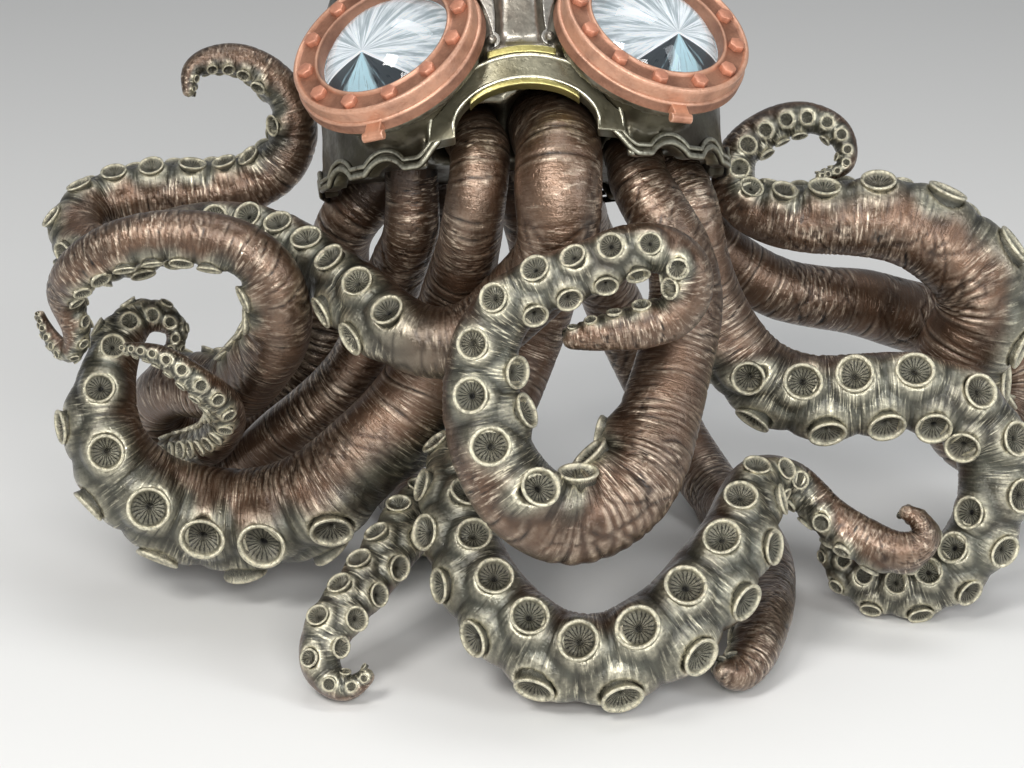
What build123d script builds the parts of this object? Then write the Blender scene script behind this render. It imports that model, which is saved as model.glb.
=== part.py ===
from build123d import *
import math
import os
from collections import namedtuple

os.makedirs("parts", exist_ok=True)

# Octopus figurine with a porthole helmet, in millimetres, Z up, the face looks along -Y.
# The arms are drawn on an upright sheet, as seen from the front: across, up and toward the eye.

# Pose of the sheet and of the head on it
SHEET_LEAN = 20.0
SIGHT = 900.0
HEAD_ACROSS = 4.0
HEAD_UP = 58.0
HEAD_TILT = 15.0
HEAD_ROLL = 3.6

# Fits
SLIP = 0.15
FOOT_FLAT = 0.5

# Hood: a straight skirt under a round dome
HOOD_RADIUS = 60.0
HOOD_WALL = 4.0
SKIRT_RISE = 40.0
SKIRT_DROP = 14.0
HEM_SIDE = 2.0
HEM_TILT = 12.0
HEM_BEAD = 1.5
HEM_BEAD_WIDTH = 2.4
HEM_GAP = 1.6
SCALLOP = 10.0
SCALLOP_SINK = 6.5
SCALLOP_ANGLES = (-112, -88, -64, -43, 43, 64, 88, 112)
RIDGE_HALF = 5.5
RIDGE_PROUD = 2.2
RIDGE_FOOT = 24.0
RIDGE_TOP = 92.0

# Arch over the front arms, with its brass trims
ARCH_HALF = 20.0
ARCH_HEIGHT = 12.0
BAND_WIDTH = 8.0
BAND_PROUD = 2.2
BAND_DROP = 3.0
TRIM = 1.7
TRIM_PROUD = 3.2
LIP_HALF = 15.5
BROW_HALF = 9.8
BROW_HEIGHT = 2.4

# Straps beside the nose ridge
STRAP_THICK = 1.6
STRAP_FOOT = (8.2, 22.2)
STRAP_HEAD = (11.0, 52.0)
STRAP_BELLY = 2.6
RIVET_HEAD = 1.5
RIVET_SHANK = 0.8
RIVET_LENGTH = 5.0
RIVET_UP = 2.6

# Portholes: seat on the hood, flange, bolted rim, silvered disc and glass dome
EYE_SPREAD = 36.3
EYE_FRONT = 53.0
EYE_HEIGHT = 24.0
EYE_YAW = 24.0
EYE_PITCH = 26.0
HOUSING_RADIUS = 26.7
HOUSING_THICK = 4.0
NECK_RADIUS = 20.5
NECK_LENGTH = 45.0
SPOT_ROOM = 0.7
FLANGE_RADIUS = 28.8
FLANGE_THICK = 3.8
RIM_RADIUS = 28.0
RIM_THICK = 3.6
RIM_OPENING = 20.0
BEAD_WIDTH = 1.3
BEAD_HEIGHT = 0.8
LENS_RADIUS = 21.0
LENS_EDGE = 2.8
LENS_RISE = 10.4
DISC_THICK = 0.8
BOLT_COUNT = 12
BOLT_CIRCLE = 24.0
BOLT_HEX = 4.4
BOLT_HEAD = 1.8
BOLT_SHANK = 1.0
BOLT_GRIP = 3.0
LATCH_FLAT = 28.2
LATCH_WIDTH = 4.6
LATCH_LENGTH = 4.2
LATCH_THICK = 3.0
LATCH_PIN = 1.4
LATCH_PIN_LENGTH = 6.4

# Crown: the core inside the hood that the arms plug into
CROWN_TOP = 34.0
CROWN_RECESS = 3.6
SPIGOT_RADIUS = 4.0
SPIGOT_LENGTH = 8.0
STUB = 9.0
MOUTH_FLARE = 12.0
MOUTH_LENGTH = 30.0

# Arms: spacing of the loft sections, and suckers as shares of the arm's radius
STATION = 8.0
SUCKER_SHARE = 0.45
SUCKER_HEIGHT = 0.30
SUCKER_PITCH = 1.28
SUCKER_ROW = 36.0
SUCKER_LEAST = 2.0
SUCKER_FOOT = 0.6
SUCKER_WAIST = 0.8
SUCKER_LIP = 0.76
SUCKER_DISH = 0.6
SUCKER_ROOM = 0.8

Arm = namedtuple("Arm", "root bare path")
Station = namedtuple("Station", "place along radius facing")

# root: angle round the crown from the front, distance from its axis, height in the hood
# bare: share of the length without suckers, from the root
# path: across, up, toward the eye, radius, and where the suckers face
# (0 at the eye, 90 to the right of travel)
ARMS = {
    "arm_left_outer": Arm(
        root=(-103, 44, 10),
        bare=0.45,
        path=(
            (-47, 52, -16, 9.3, -180),
            (-52, 36, -38, 9.0, -180),
            (-56, 14, -52, 9.0, -180),
            (-65, -5, -64, 9.0, -180),
            (-80, -17, -76, 8.7, -180),
            (-97, -16, -78, 8.7, -180),
            (-106, -8, -66, 8.7, -170),
            (-100, -1, -48, 9.0, -150),
            (-85, -2, -32, 9.3, -130),
            (-74, 7, -8, 9.3, -120),
            (-69, 22, 14, 9.0, -115),
            (-74, 35, 20, 8.4, -115),
            (-87, 43, 21, 7.8, -115),
            (-104, 45, 20, 7.2, -115),
            (-121, 41, 17, 6.9, -110),
            (-131, 34, 9, 6.3, -100),
            (-134, 25, -3, 5.1, -90),
            (-131, 16, -9, 3.9, -80),
            (-133, 10, -16, 3.0, -70),
            (-138, 14, -20, 2.4, -60),
            (-142, 22, -20, 1.2, -60),
        ),
    ),
    "arm_left_inner": Arm(
        root=(-62, 38, 3),
        bare=0.55,
        path=(
            (-30, 49, 12, 8.1, -180),
            (-33, 38, 0, 8.7, -180),
            (-38, 24, -14, 9.0, -180),
            (-50, 1, -28, 9.0, -180),
            (-67, -14, -42, 8.7, -170),
            (-80, -26, -54, 7.8, -150),
            (-90, -37, -66, 6.9, -120),
            (-100, -39, -74, 6.3, -100),
            (-107, -31, -72, 6.0, -80),
            (-102, -23, -58, 6.0, -60),
            (-92, -19, -36, 6.0, -50),
            (-86, -13, -12, 5.7, -45),
            (-87, -5, 6, 5.1, -40),
            (-94, 1, 15, 4.2, -40),
            (-104, 8, 18, 3.3, -40),
            (-117, 11, 16, 1.5, -40),
        ),
    ),
    "arm_left_front": Arm(
        root=(-32, 32, 13),
        bare=0.33,
        path=(
            (-10, 71, 38, 9.0, -180),
            (-11, 54, 43, 9.3, -180),
            (-13, 42, 32, 9.6, -175),
            (-17, 25, 12, 11.1, -165),
            (-26, 1, -4, 12.6, -125),
            (-46, -23, -10, 13.8, -85),
            (-67, -37, -20, 14.1, -70),
            (-89, -39, -24, 14.1, -60),
            (-109, -32, -20, 13.2, -45),
            (-121, -17, -16, 11.4, -35),
            (-122, -1, -18, 9.3, -35),
            (-117, 13, -24, 6.9, -40),
            (-109, 20, -28, 4.8, -40),
            (-101, 16, -29, 3.3, -40),
            (-103, 10, -29, 2.1, -40),
            (-109, 9, -29, 1.2, -40),
        ),
    ),
    "arm_center_left": Arm(
        root=(16, 27, 13),
        bare=0.30,
        path=(
            (14, 70, 46, 13.2, -180),
            (14, 57, 53, 13.5, -180),
            (14, 49, 52, 12.9, -175),
            (12, 38, 47, 12.3, -165),
            (1, 25, 36, 11.4, -110),
            (-13, 14, 32, 11.1, -50),
            (-26, 13, 30, 10.8, -25),
            (-41, 22, 20, 10.5, -20),
            (-56, 34, 3, 9.9, -15),
            (-73, 44, -12, 8.7, -10),
            (-89, 47, -18, 7.8, -20),
            (-109, 43, -18, 7.8, -35),
            (-124, 40, -22, 7.8, -60),
            (-130, 46, -33, 7.8, -80),
            (-124, 53, -44, 7.8, -90),
            (-107, 57, -47, 8.1, -90),
            (-86, 58, -47, 8.1, -90),
            (-70, 65, -45, 7.5, -90),
            (-65, 79, -41, 6.6, -90),
            (-72, 92, -37, 5.4, -90),
            (-85, 98, -34, 4.2, -90),
            (-96, 94, -32, 3.0, -90),
            (-97, 86, -31, 1.5, -90),
        ),
    ),
    "arm_center_right": Arm(
        root=(0, 0, 9),
        bare=0.25,
        path=(
            (10, 31, -22, 9.9, 60),
            (4, 10, -28, 9.9, 60),
            (-5, -11, -20, 9.6, 50),
            (-15, -27, 5, 9.6, 45),
            (-14, -48, 22, 10.8, 38),
            (-2, -69, 34, 12.0, 35),
            (17, -81, 40, 12.9, 35),
            (40, -77, 40, 13.5, 35),
            (58, -60, 34, 12.6, 35),
            (69, -41, 22, 10.2, 30),
            (74, -29, 8, 7.5, 25),
            (84, -29, 0, 5.7, 25),
            (94, -38, 2, 5.4, 60),
            (107, -47, 4, 5.4, 120),
            (118, -50, 6, 4.5, 160),
            (124, -46, 6, 3.0, 170),
            (121, -40, 5, 2.1, 180),
            (116, -38, 4, 1.2, 180),
        ),
    ),
    "arm_right_front": Arm(
        root=(54, 38, 5),
        bare=0.30,
        path=(
            (38, 62, 32, 9.0, 180),
            (46, 47, 38, 9.9, 180),
            (52, 31, 34, 10.8, 175),
            (50, 12, 36, 11.7, 165),
            (44, -11, 44, 12.6, 150),
            (35, -32, 54, 13.2, 120),
            (17, -41, 60, 13.2, 95),
            (0, -31, 63, 12.9, 50),
            (-9, -9, 63, 11.7, 28),
            (-8, 12, 64, 10.2, 20),
            (4, 27, 67, 8.7, 5),
            (23, 35, 70, 8.1, 10),
            (41, 41, 71, 7.5, 30),
            (53, 34, 70, 6.9, 70),
            (50, 22, 68, 6.9, 100),
            (35, 16, 68, 6.0, 100),
            (22, 14, 67, 4.2, 100),
            (15, 13, 66, 2.4, 100),
        ),
    ),
    "arm_right_inner": Arm(
        root=(84, 42, 9),
        bare=0.22,
        path=(
            (53, 55, 10, 8.4, 175),
            (56, 40, 6, 8.7, 165),
            (62, 21, -4, 9.6, 120),
            (74, 4, -8, 11.1, 45),
            (91, -3, -8, 12.0, 15),
            (112, -2, -8, 11.7, 10),
            (131, -5, -10, 11.4, 8),
            (143, -18, -14, 10.8, 5),
            (143, -38, -16, 10.2, 0),
            (133, -54, -19, 9.3, -10),
            (118, -61, -21, 8.1, -20),
            (104, -58, -22, 6.3, -30),
            (97, -50, -22, 4.2, -30),
            (98, -43, -21, 2.4, -30),
            (103, -42, -20, 1.2, -30),
        ),
    ),
    "arm_right_outer": Arm(
        root=(118, 42, 12),
        bare=0.45,
        path=(
            (65, 38, -38, 8.7, 180),
            (82, 28, -46, 9.3, 180),
            (101, 25, -56, 9.9, 175),
            (124, 19, -72, 10.8, 165),
            (145, 10, -86, 11.4, 150),
            (154, -4, -80, 11.4, 140),
            (146, -17, -66, 11.4, 130),
            (135, -11, -52, 12.0, 120),
            (133, 6, -40, 12.9, 110),
            (140, 25, -30, 13.2, 105),
            (129, 42, -25, 12.6, 100),
            (103, 49, -22, 10.8, 95),
            (79, 50, -22, 8.4, 85),
            (68, 56, -24, 7.2, 60),
            (67, 67, -26, 6.3, 40),
            (75, 76, -27, 5.4, 40),
            (87, 80, -26, 4.8, 40),
            (99, 74, -24, 3.9, 40),
            (100, 66, -22, 2.7, 40),
            (91, 62, -20, 1.2, 40),
        ),
    ),
    "arm_rear_left": Arm(
        root=(-138, 38, 13),
        bare=0.50,
        path=(
            (-25, 34, -80, 8.7, 180),
            (-32, 4, -104, 8.7, 180),
            (-36, -20, -104, 8.7, 150),
            (-30, -36, -82, 8.7, 90),
            (-22, -41, -50, 8.7, 40),
            (-25, -38, -18, 8.4, 10),
            (-33, -45, 6, 8.1, 5),
            (-44, -60, 20, 7.8, 5),
            (-55, -74, 30, 7.5, 0),
            (-57, -85, 34, 6.0, -20),
            (-50, -91, 36, 4.2, -40),
            (-42, -86, 38, 2.1, -40),
        ),
    ),
    "arm_rear_right": Arm(
        root=(160, 38, 16),
        bare=0.50,
        path=(
            (26, 34, -84, 8.7, 180),
            (40, 4, -106, 8.7, 180),
            (53, -21, -102, 8.7, 180),
            (67, -39, -76, 8.4, 170),
            (76, -53, -42, 8.1, 160),
            (77, -66, -6, 7.8, 150),
            (74, -78, 22, 7.2, 150),
            (67, -87, 33, 5.4, 150),
            (61, -85, 37, 2.4, 150),
        ),
    ),
}


def spot(across, up, toward):
    near = 1 - toward / SIGHT
    return Vector(across * near, -toward, up * near)


HEAD = Pos(spot(HEAD_ACROSS, HEAD_UP, 0)) * Rot(X=-HEAD_TILT) * Rot(Y=-HEAD_ROLL)
RIM_SEAT = FLANGE_THICK
SHELL_BASE = (Align.CENTER, Align.CENTER, Align.MIN)


def rod(radius, length):
    return Cylinder(radius, length, align=SHELL_BASE)


def turned(*outline):
    return revolve(Plane.XZ * make_face(Polyline(*outline, close=True)), axis=Axis.Z)


# Smooth route through the points: a cubic in each span, leaving the first point along aim
def span_bends(points, spans, aim):
    rates = [aim] + [(b - a) / h for a, b, h in zip(points, points[1:], spans)]
    pivots = [2 * spans[0]]
    pulls = [(rates[1] - rates[0]) * 6]
    for i in range(1, len(spans)):
        share = spans[i - 1] / pivots[-1]
        pivots.append(2 * (spans[i - 1] + spans[i]) - share * spans[i - 1])
        pulls.append((rates[i + 1] - rates[i]) * 6 - pulls[-1] * share)
    bends = [Vector(0, 0, 0)]
    for i in reversed(range(len(spans))):
        bends.insert(0, (pulls[i] - bends[0] * spans[i]) / pivots[i])
    return bends


def span_point(a, b, bend_a, bend_b, span, x):
    y = span - x
    place = bend_a * (y ** 3 / (6 * span)) + bend_b * (x ** 3 / (6 * span))
    place += (a / span - bend_a * (span / 6)) * y + (b / span - bend_b * (span / 6)) * x
    along = bend_b * (x ** 2 / (2 * span)) - bend_a * (y ** 2 / (2 * span))
    along += (b - a) / span - (bend_b - bend_a) * (span / 6)
    return place, along.normalized()


# Arm routes
def arm_start(arm):
    angle, reach, height = arm.root
    turn = math.radians(angle)
    return (HEAD * Pos(reach * math.sin(turn), -reach * math.cos(turn), height)).position


def arm_aim(arm):
    return (spot(*arm.path[0][:3]) - arm_start(arm)).normalized()


def arm_stations(arm):
    start = arm_start(arm)
    aim = arm_aim(arm)
    points = [start + aim * STUB] + [spot(*p[:3]) for p in arm.path]
    radii = [p[3] * (1 - p[2] / SIGHT) for p in arm.path]
    radii = [radii[0]] + radii
    facing = [p[4] for p in arm.path]
    facing = [facing[0]] + facing
    spans = [(b - a).length for a, b in zip(points, points[1:])]
    bends = span_bends(points, spans, aim)
    stations = [Station(start, aim, radii[0], facing[0])]
    for i, span in enumerate(spans):
        count = math.ceil(span / STATION)
        for k in range(count):
            part = k / count
            place, along = span_point(points[i], points[i + 1], bends[i], bends[i + 1], span, span * part)
            radius = radii[i] + (radii[i + 1] - radii[i]) * part
            turn = facing[i] + (facing[i + 1] - facing[i]) * part
            stations.append(Station(place, along, radius, turn))
    place, along = span_point(points[-2], points[-1], bends[-2], bends[-1], spans[-1], spans[-1])
    stations.append(Station(place, along, radii[-1], facing[-1]))
    return stations


def arm_plane(arm):
    return Location(Plane(origin=arm_start(arm), z_dir=arm_aim(arm)))


def root_radius(arm):
    return arm.path[0][3] * (1 - arm.path[0][2] / SIGHT)


def sucker_side(station, row):
    eye = Vector(0, -1, 0)
    near = (eye - station.along * eye.dot(station.along)).normalized()
    turn = math.radians(station.facing + row)
    return near * math.cos(turn) + station.along.cross(near) * math.sin(turn)


def sucker_sites(stations, bare):
    run = [0.0]
    for a, b in zip(stations, stations[1:]):
        run.append(run[-1] + (b.place - a.place).length)
    here = run[-1] * bare
    row = SUCKER_ROW
    sites = []
    while here < run[-1] - STATION:
        i = max(k for k in range(len(run)) if run[k] <= here)
        part = (here - run[i]) / (run[i + 1] - run[i])
        a, b = stations[i], stations[i + 1]
        mid = Station(
            a.place + (b.place - a.place) * part,
            (a.along + (b.along - a.along) * part).normalized(),
            a.radius + (b.radius - a.radius) * part,
            a.facing + (b.facing - a.facing) * part,
        )
        size = mid.radius * SUCKER_SHARE
        if size > SUCKER_LEAST:
            sites.append((mid, sucker_side(mid, row), size))
        row = -row
        here += max(size, SUCKER_LEAST) * SUCKER_PITCH
    return sites


def crowded(site, name, routes, taken):
    mid, side, size = site
    rim = tuple(mid.place + side * (mid.radius * (1 + SUCKER_HEIGHT)))
    for other, stations in routes.items():
        if other == name:
            continue
        for s in stations:
            if math.dist(rim, tuple(s.place)) < s.radius + size + SUCKER_ROOM:
                return True
    for other, place, reach in taken:
        if other != name and math.dist(rim, place) < reach + size + SUCKER_ROOM:
            return True
    taken.append((name, rim, size))
    return False


# Arm pieces
def sucker_cup(site):
    mid, side, size = site
    foot = mid.radius * SUCKER_FOOT
    top = mid.radius * (1 + SUCKER_HEIGHT)
    dish = top - size * SUCKER_DISH
    cup = turned((0, foot), (size * SUCKER_WAIST, foot), (size, top), (size * SUCKER_LIP, top), (0, dish))
    return Location(Plane(origin=mid.place, x_dir=mid.along, z_dir=side)) * cup


def arm_solid(name, routes, taken):
    arm = ARMS[name]
    stations = routes[name]
    sections = []
    across = Vector(0.3, -1, 0.2)
    for s in stations:
        across = (across - s.along * across.dot(s.along)).normalized()
        ring = Plane(origin=s.place, x_dir=across, z_dir=s.along)
        sections.append(Wire([Edge.make_circle(s.radius, ring)]))
    body = Solid.make_loft(sections, True)
    tip = Pos(stations[-1].place) * Sphere(stations[-1].radius)
    spigot = arm_plane(arm) * Pos(0, 0, -SPIGOT_LENGTH) * rod(SPIGOT_RADIUS, SPIGOT_LENGTH + STUB / 2)
    cups = [sucker_cup(s) for s in sucker_sites(stations, arm.bare) if not crowded(s, name, routes, taken)]
    return Part() + body + [tip, spigot, *cups]


# Head pieces, in the hood's own frame
def dome(grow):
    radius = HOOD_RADIUS + grow
    outline = [
        Line((0, -SKIRT_DROP), (radius, -SKIRT_DROP)),
        Line((radius, -SKIRT_DROP), (radius, SKIRT_RISE)),
        CenterArc((0, SKIRT_RISE), radius, 0, 90),
        Line((0, SKIRT_RISE + radius), (0, -SKIRT_DROP)),
    ]
    return revolve(Plane.XZ * make_face(outline), axis=Axis.Z)


def tube(inner, outer):
    height = SKIRT_RISE + SKIRT_DROP
    return Pos(0, 0, -SKIRT_DROP) * (rod(outer, height) - rod(inner, height))


# Space under the hem, which is lower at the front and arched over the arms
def under_hem(grow):
    depth = HOOD_RADIUS * 2
    slope = math.tan(math.radians(HEM_TILT))
    block = Pos(0, 0, -depth) * Box(2 * depth, 2 * depth, 2 * depth)
    low = Pos(0, 0, HEM_SIDE + grow) * Rot(X=HEM_TILT) * block
    arches = []
    for angle in SCALLOP_ANGLES:
        height = HEM_SIDE - HOOD_RADIUS * math.cos(math.radians(angle)) * slope
        seat = Rot(Z=angle) * Pos(0, 0, height - SCALLOP_SINK) * Rot(X=90)
        arches.append(seat * rod(SCALLOP + grow, depth))
    return low, arches


def front_prism(sketch):
    return extrude(Plane.XZ * sketch, amount=HOOD_RADIUS * 1.5)


def arch(grow):
    half = ARCH_HALF + grow
    height = ARCH_HEIGHT + grow
    leg = Pos(0, -SKIRT_DROP / 2) * Rectangle(2 * half, SKIRT_DROP)
    low = Pos(0, -HOOD_RADIUS / 2 - SKIRT_DROP) * Rectangle(HOOD_RADIUS * 2, HOOD_RADIUS)
    return Ellipse(half, height) + leg - low


def eye(side):
    yaw = math.radians(EYE_YAW) * side
    pitch = math.radians(EYE_PITCH)
    out = (math.sin(yaw) * math.cos(pitch), -math.cos(yaw) * math.cos(pitch), math.sin(pitch))
    seat = (side * EYE_SPREAD, -EYE_FRONT, EYE_HEIGHT)
    return Location(Plane(origin=seat, x_dir=(math.cos(yaw), math.sin(yaw), 0), z_dir=out))


def housing(side, grow):
    ring = Pos(0, 0, -HOUSING_THICK) * rod(HOUSING_RADIUS + grow, HOUSING_THICK)
    return eye(side) * (ring + Pos(0, 0, -NECK_LENGTH) * rod(NECK_RADIUS + grow, NECK_LENGTH))


def bolt_spots():
    return PolarLocations(BOLT_CIRCLE, BOLT_COUNT, start_angle=180 / BOLT_COUNT)


def bolt_holes(low, high):
    return [p * Pos(0, 0, low) * rod(BOLT_SHANK + SLIP, high - low) for p in bolt_spots()]


def strap_blank(side):
    fx, fz = STRAP_FOOT
    hx, hz = STRAP_HEAD
    mid = ((fx + hx) / 2, (fz + hz) / 2)
    inner = ThreePointArc((side * fx, fz), (side * (mid[0] - STRAP_BELLY), mid[1]), (side * hx, hz))
    outer = ThreePointArc((side * hx, hz), (side * (mid[0] + STRAP_BELLY), mid[1]), (side * fx, fz))
    foot = Pos(side * fx, fz + RIVET_UP) * Circle(RIVET_HEAD * 1.6)
    return front_prism(make_face([inner, outer]) + foot)


def rivet_place(side):
    x = STRAP_FOOT[0]
    seat = math.sqrt((HOOD_RADIUS + STRAP_THICK) ** 2 - (x - RIVET_HEAD) ** 2)
    return Pos(side * x, -seat, STRAP_FOOT[1] + RIVET_UP) * Rot(X=90)


def helmet():
    cavity = dome(-HOOD_WALL)
    notch = front_prism(arch(BAND_WIDTH + SLIP))
    ridge = Polyline(
        (-RIDGE_HALF, RIDGE_FOOT), (RIDGE_HALF, RIDGE_FOOT),
        (RIDGE_HALF / 2, RIDGE_TOP), (-RIDGE_HALF / 2, RIDGE_TOP), close=True,
    )
    wide, wide_arches = under_hem(HEM_BEAD_WIDTH)
    low, arches = under_hem(0)
    edge = tube(HOOD_RADIUS - HOOD_WALL, HOOD_RADIUS + HEM_BEAD)
    shell = dome(0) + (edge & wide) + [edge & a for a in wide_arches]
    shell -= [notch, low, *arches]
    shell += front_prism(make_face(ridge)) & dome(RIDGE_PROUD)
    shell += [housing(-1, 0), housing(1, 0)]
    shell -= [cavity, low]
    for side in (-1, 1):
        shell -= eye(side) * rod(FLANGE_RADIUS + SPOT_ROOM, NECK_LENGTH)
        shell -= [eye(side) * h for h in bolt_holes(-BOLT_GRIP - SLIP, 0)]
        shell -= rivet_place(side) * Pos(0, 0, -RIVET_LENGTH - SLIP) * rod(RIVET_SHANK + SLIP, RIVET_LENGTH)
    return shell


def collar_band():
    kept = Pos(0, HOOD_RADIUS - BAND_DROP) * Rectangle(HOOD_RADIUS * 2, HOOD_RADIUS * 2)
    outline = (arch(BAND_WIDTH) - arch(0)) & kept
    ring = front_prism(outline) & tube(HOOD_RADIUS - HOOD_WALL, HOOD_RADIUS + BAND_PROUD)
    return ring - [housing(-1, SLIP), housing(1, SLIP)]


def lip_trim():
    strip = arch(0) - arch(-TRIM)
    strip &= Pos(0, ARCH_HEIGHT / 2) * Rectangle(2 * LIP_HALF, ARCH_HEIGHT)
    return front_prism(strip) & tube(HOOD_RADIUS - TRIM, HOOD_RADIUS + TRIM_PROUD)


def brow_bar():
    strip = arch(BAND_WIDTH + BROW_HEIGHT) - arch(BAND_WIDTH + SLIP)
    strip &= Pos(0, HOOD_RADIUS / 2) * Rectangle(2 * BROW_HALF, HOOD_RADIUS)
    return front_prism(strip) & tube(HOOD_RADIUS, HOOD_RADIUS + BAND_PROUD)


def nose_strap(side):
    strap = (strap_blank(side) & dome(STRAP_THICK)) - dome(0)
    strap -= eye(side) * Pos(0, 0, -HOUSING_THICK - SPOT_ROOM) * rod(FLANGE_RADIUS + SPOT_ROOM, NECK_LENGTH)
    return strap - rivet_place(side) * Pos(0, 0, -RIVET_LENGTH) * rod(RIVET_SHANK + SLIP, RIVET_LENGTH)


def strap_rivet(side):
    head = Sphere(RIVET_HEAD) & rod(RIVET_HEAD * 2, RIVET_HEAD * 2)
    return rivet_place(side) * (head + Pos(0, 0, -RIVET_LENGTH) * rod(RIVET_SHANK, RIVET_LENGTH))


# Porthole pieces, in the seat's frame
def porthole_flange():
    ring = rod(FLANGE_RADIUS, FLANGE_THICK) - rod(LENS_RADIUS + SLIP, FLANGE_THICK)
    ring -= bolt_holes(0, FLANGE_THICK)
    side = FLANGE_RADIUS * 2
    return ring - Pos(0, -LATCH_FLAT - FLANGE_RADIUS, 0) * Box(side, side, side)


def porthole_rim():
    top = RIM_THICK + BEAD_HEIGHT
    ring = turned(
        (RIM_OPENING, 0), (RIM_RADIUS, 0), (RIM_RADIUS, top), (RIM_RADIUS - BEAD_WIDTH, top),
        (RIM_RADIUS - BEAD_WIDTH, RIM_THICK), (RIM_OPENING + BEAD_WIDTH, RIM_THICK),
        (RIM_OPENING + BEAD_WIDTH, top), (RIM_OPENING, top),
    )
    return Pos(0, 0, RIM_SEAT) * (ring - bolt_holes(0, RIM_THICK))


def rim_bolts():
    face = RIM_SEAT + RIM_THICK
    head = extrude(RegularPolygon(BOLT_HEX / 2, 6, major_radius=False), amount=BOLT_HEAD)
    bolt = Pos(0, 0, face) * head + Pos(0, 0, -BOLT_GRIP) * rod(BOLT_SHANK, face + BOLT_GRIP)
    return [p * bolt for p in bolt_spots()]


def rim_latch():
    lug = Box(LATCH_WIDTH, LATCH_LENGTH, LATCH_THICK, align=(Align.CENTER, Align.MAX, Align.MIN))
    pin = Pos(0, -LATCH_LENGTH, LATCH_THICK / 2) * Rot(Y=90) * Cylinder(LATCH_PIN, LATCH_PIN_LENGTH)
    return Pos(0, -LATCH_FLAT, (FLANGE_THICK - LATCH_THICK) / 2) * (lug + pin)


def eye_disc():
    return rod(LENS_RADIUS, DISC_THICK)


def lens():
    base = RIM_OPENING - SLIP
    ball = (base ** 2 + LENS_RISE ** 2) / (2 * LENS_RISE)
    edge = FLANGE_THICK - DISC_THICK - SLIP
    cap = Pos(0, 0, edge + LENS_RISE - ball) * Sphere(ball)
    cap &= Pos(0, 0, edge) * rod(LENS_RADIUS, LENS_RISE)
    return Pos(0, 0, DISC_THICK) * (rod(LENS_RADIUS, edge) + cap)


def arm_crown():
    core = Pos(0, 0, -SKIRT_DROP) * rod(HOOD_RADIUS - HOOD_WALL - SLIP, CROWN_TOP + SKIRT_DROP)
    return HEAD * (core - under_hem(CROWN_RECESS)[0])


def mouth(radius):
    return Cone(radius, radius + MOUTH_FLARE, MOUTH_LENGTH, align=SHELL_BASE)


def plugged(core):
    for arm in ARMS.values():
        seat = arm_plane(arm)
        core -= seat * rod(root_radius(arm) + SLIP, HOOD_RADIUS * 2)
        core -= seat * Pos(0, 0, STUB / 2) * mouth(root_radius(arm) + SLIP)
        core -= seat * Pos(0, 0, -SPIGOT_LENGTH - SLIP) * rod(SPIGOT_RADIUS + SLIP, SPIGOT_LENGTH + SLIP)
    return core.solids().sort_by(SortBy.VOLUME)[-1]


def hemmed(shell):
    for arm in ARMS.values():
        shell -= arm_plane(arm) * rod(root_radius(arm) + HEM_GAP, HOOD_RADIUS * 2)
    return shell.solids().sort_by(SortBy.VOLUME)[-1]


# Everything in the sheet's frame
nodes = {
    "helmet": [hemmed(HEAD * helmet())],
    "arm_crown": [plugged(arm_crown())],
    "collar_band": [HEAD * collar_band()],
    "lip_trim": [HEAD * lip_trim()],
    "brow_bar": [HEAD * brow_bar()],
    "strap_rivets": [HEAD * strap_rivet(-1), HEAD * strap_rivet(1)],
}
for word, side in (("left", -1), ("right", 1)):
    seat = HEAD * eye(side)
    nodes["nose_strap_" + word] = [HEAD * nose_strap(side)]
    nodes["porthole_flange_" + word] = [seat * porthole_flange()]
    nodes["porthole_rim_" + word] = [seat * porthole_rim()]
    nodes["rim_bolts_" + word] = [seat * b for b in rim_bolts()]
    nodes["rim_latch_" + word] = [seat * rim_latch()]
    nodes["eye_disc_" + word] = [seat * eye_disc()]
    nodes["lens_" + word] = [seat * lens()]

routes = {name: arm_stations(arm) for name, arm in ARMS.items()}
taken = []
for name in ARMS:
    nodes[name] = [arm_solid(name, routes, taken)]

# Stand the figure on the table: lean the sheet back, grind the lowest arms flat, centre the base
lean = Rot(X=-SHEET_LEAN)
floor = min((lean * Pos(s.place)).position.Z - s.radius for r in routes.values() for s in r) + FOOT_FLAT
below = Pos(0, 0, floor - HOOD_RADIUS) * Box(HOOD_RADIUS * 20, HOOD_RADIUS * 20, HOOD_RADIUS * 2)
for name in nodes:
    nodes[name] = [lean * piece for piece in nodes[name]]
for name in ARMS:
    nodes[name] = [nodes[name][0] - below]
box = Compound([piece for pieces in nodes.values() for piece in pieces]).bounding_box()
home = Pos(-box.center().X, -box.center().Y, -floor)
for name, pieces in nodes.items():
    solids = [solid for piece in pieces for solid in (home * piece).solids()]
    print(name, len(solids), round(sum(s.volume for s in solids) / 1000, 1), "cm3")
    export_step(Compound(solids) if len(solids) > 1 else solids[0], "parts/" + name + ".step")
print("size", *(round(v, 1) for v in box.size))
print("sheet's origin in the part", *(round(v, 2) for v in home.position))
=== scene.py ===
# %% [markdown]
# # A bronze octopus in porthole goggles
# The real ornament is cast in bronze-filled resin, piece by piece, then stained dark and rubbed bright on
# everything that stands proud. Two crafts meet on it: soft, wrinkled, suckered arms, and a hood with bolted
# copper portholes. This lesson loads the construction as a fixed frame, then dresses each piece in turn.

# %% Load the frame
import math
from collections import namedtuple

import bmesh
import bpy
import numpy as np
from mathutils import Matrix, Vector


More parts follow.
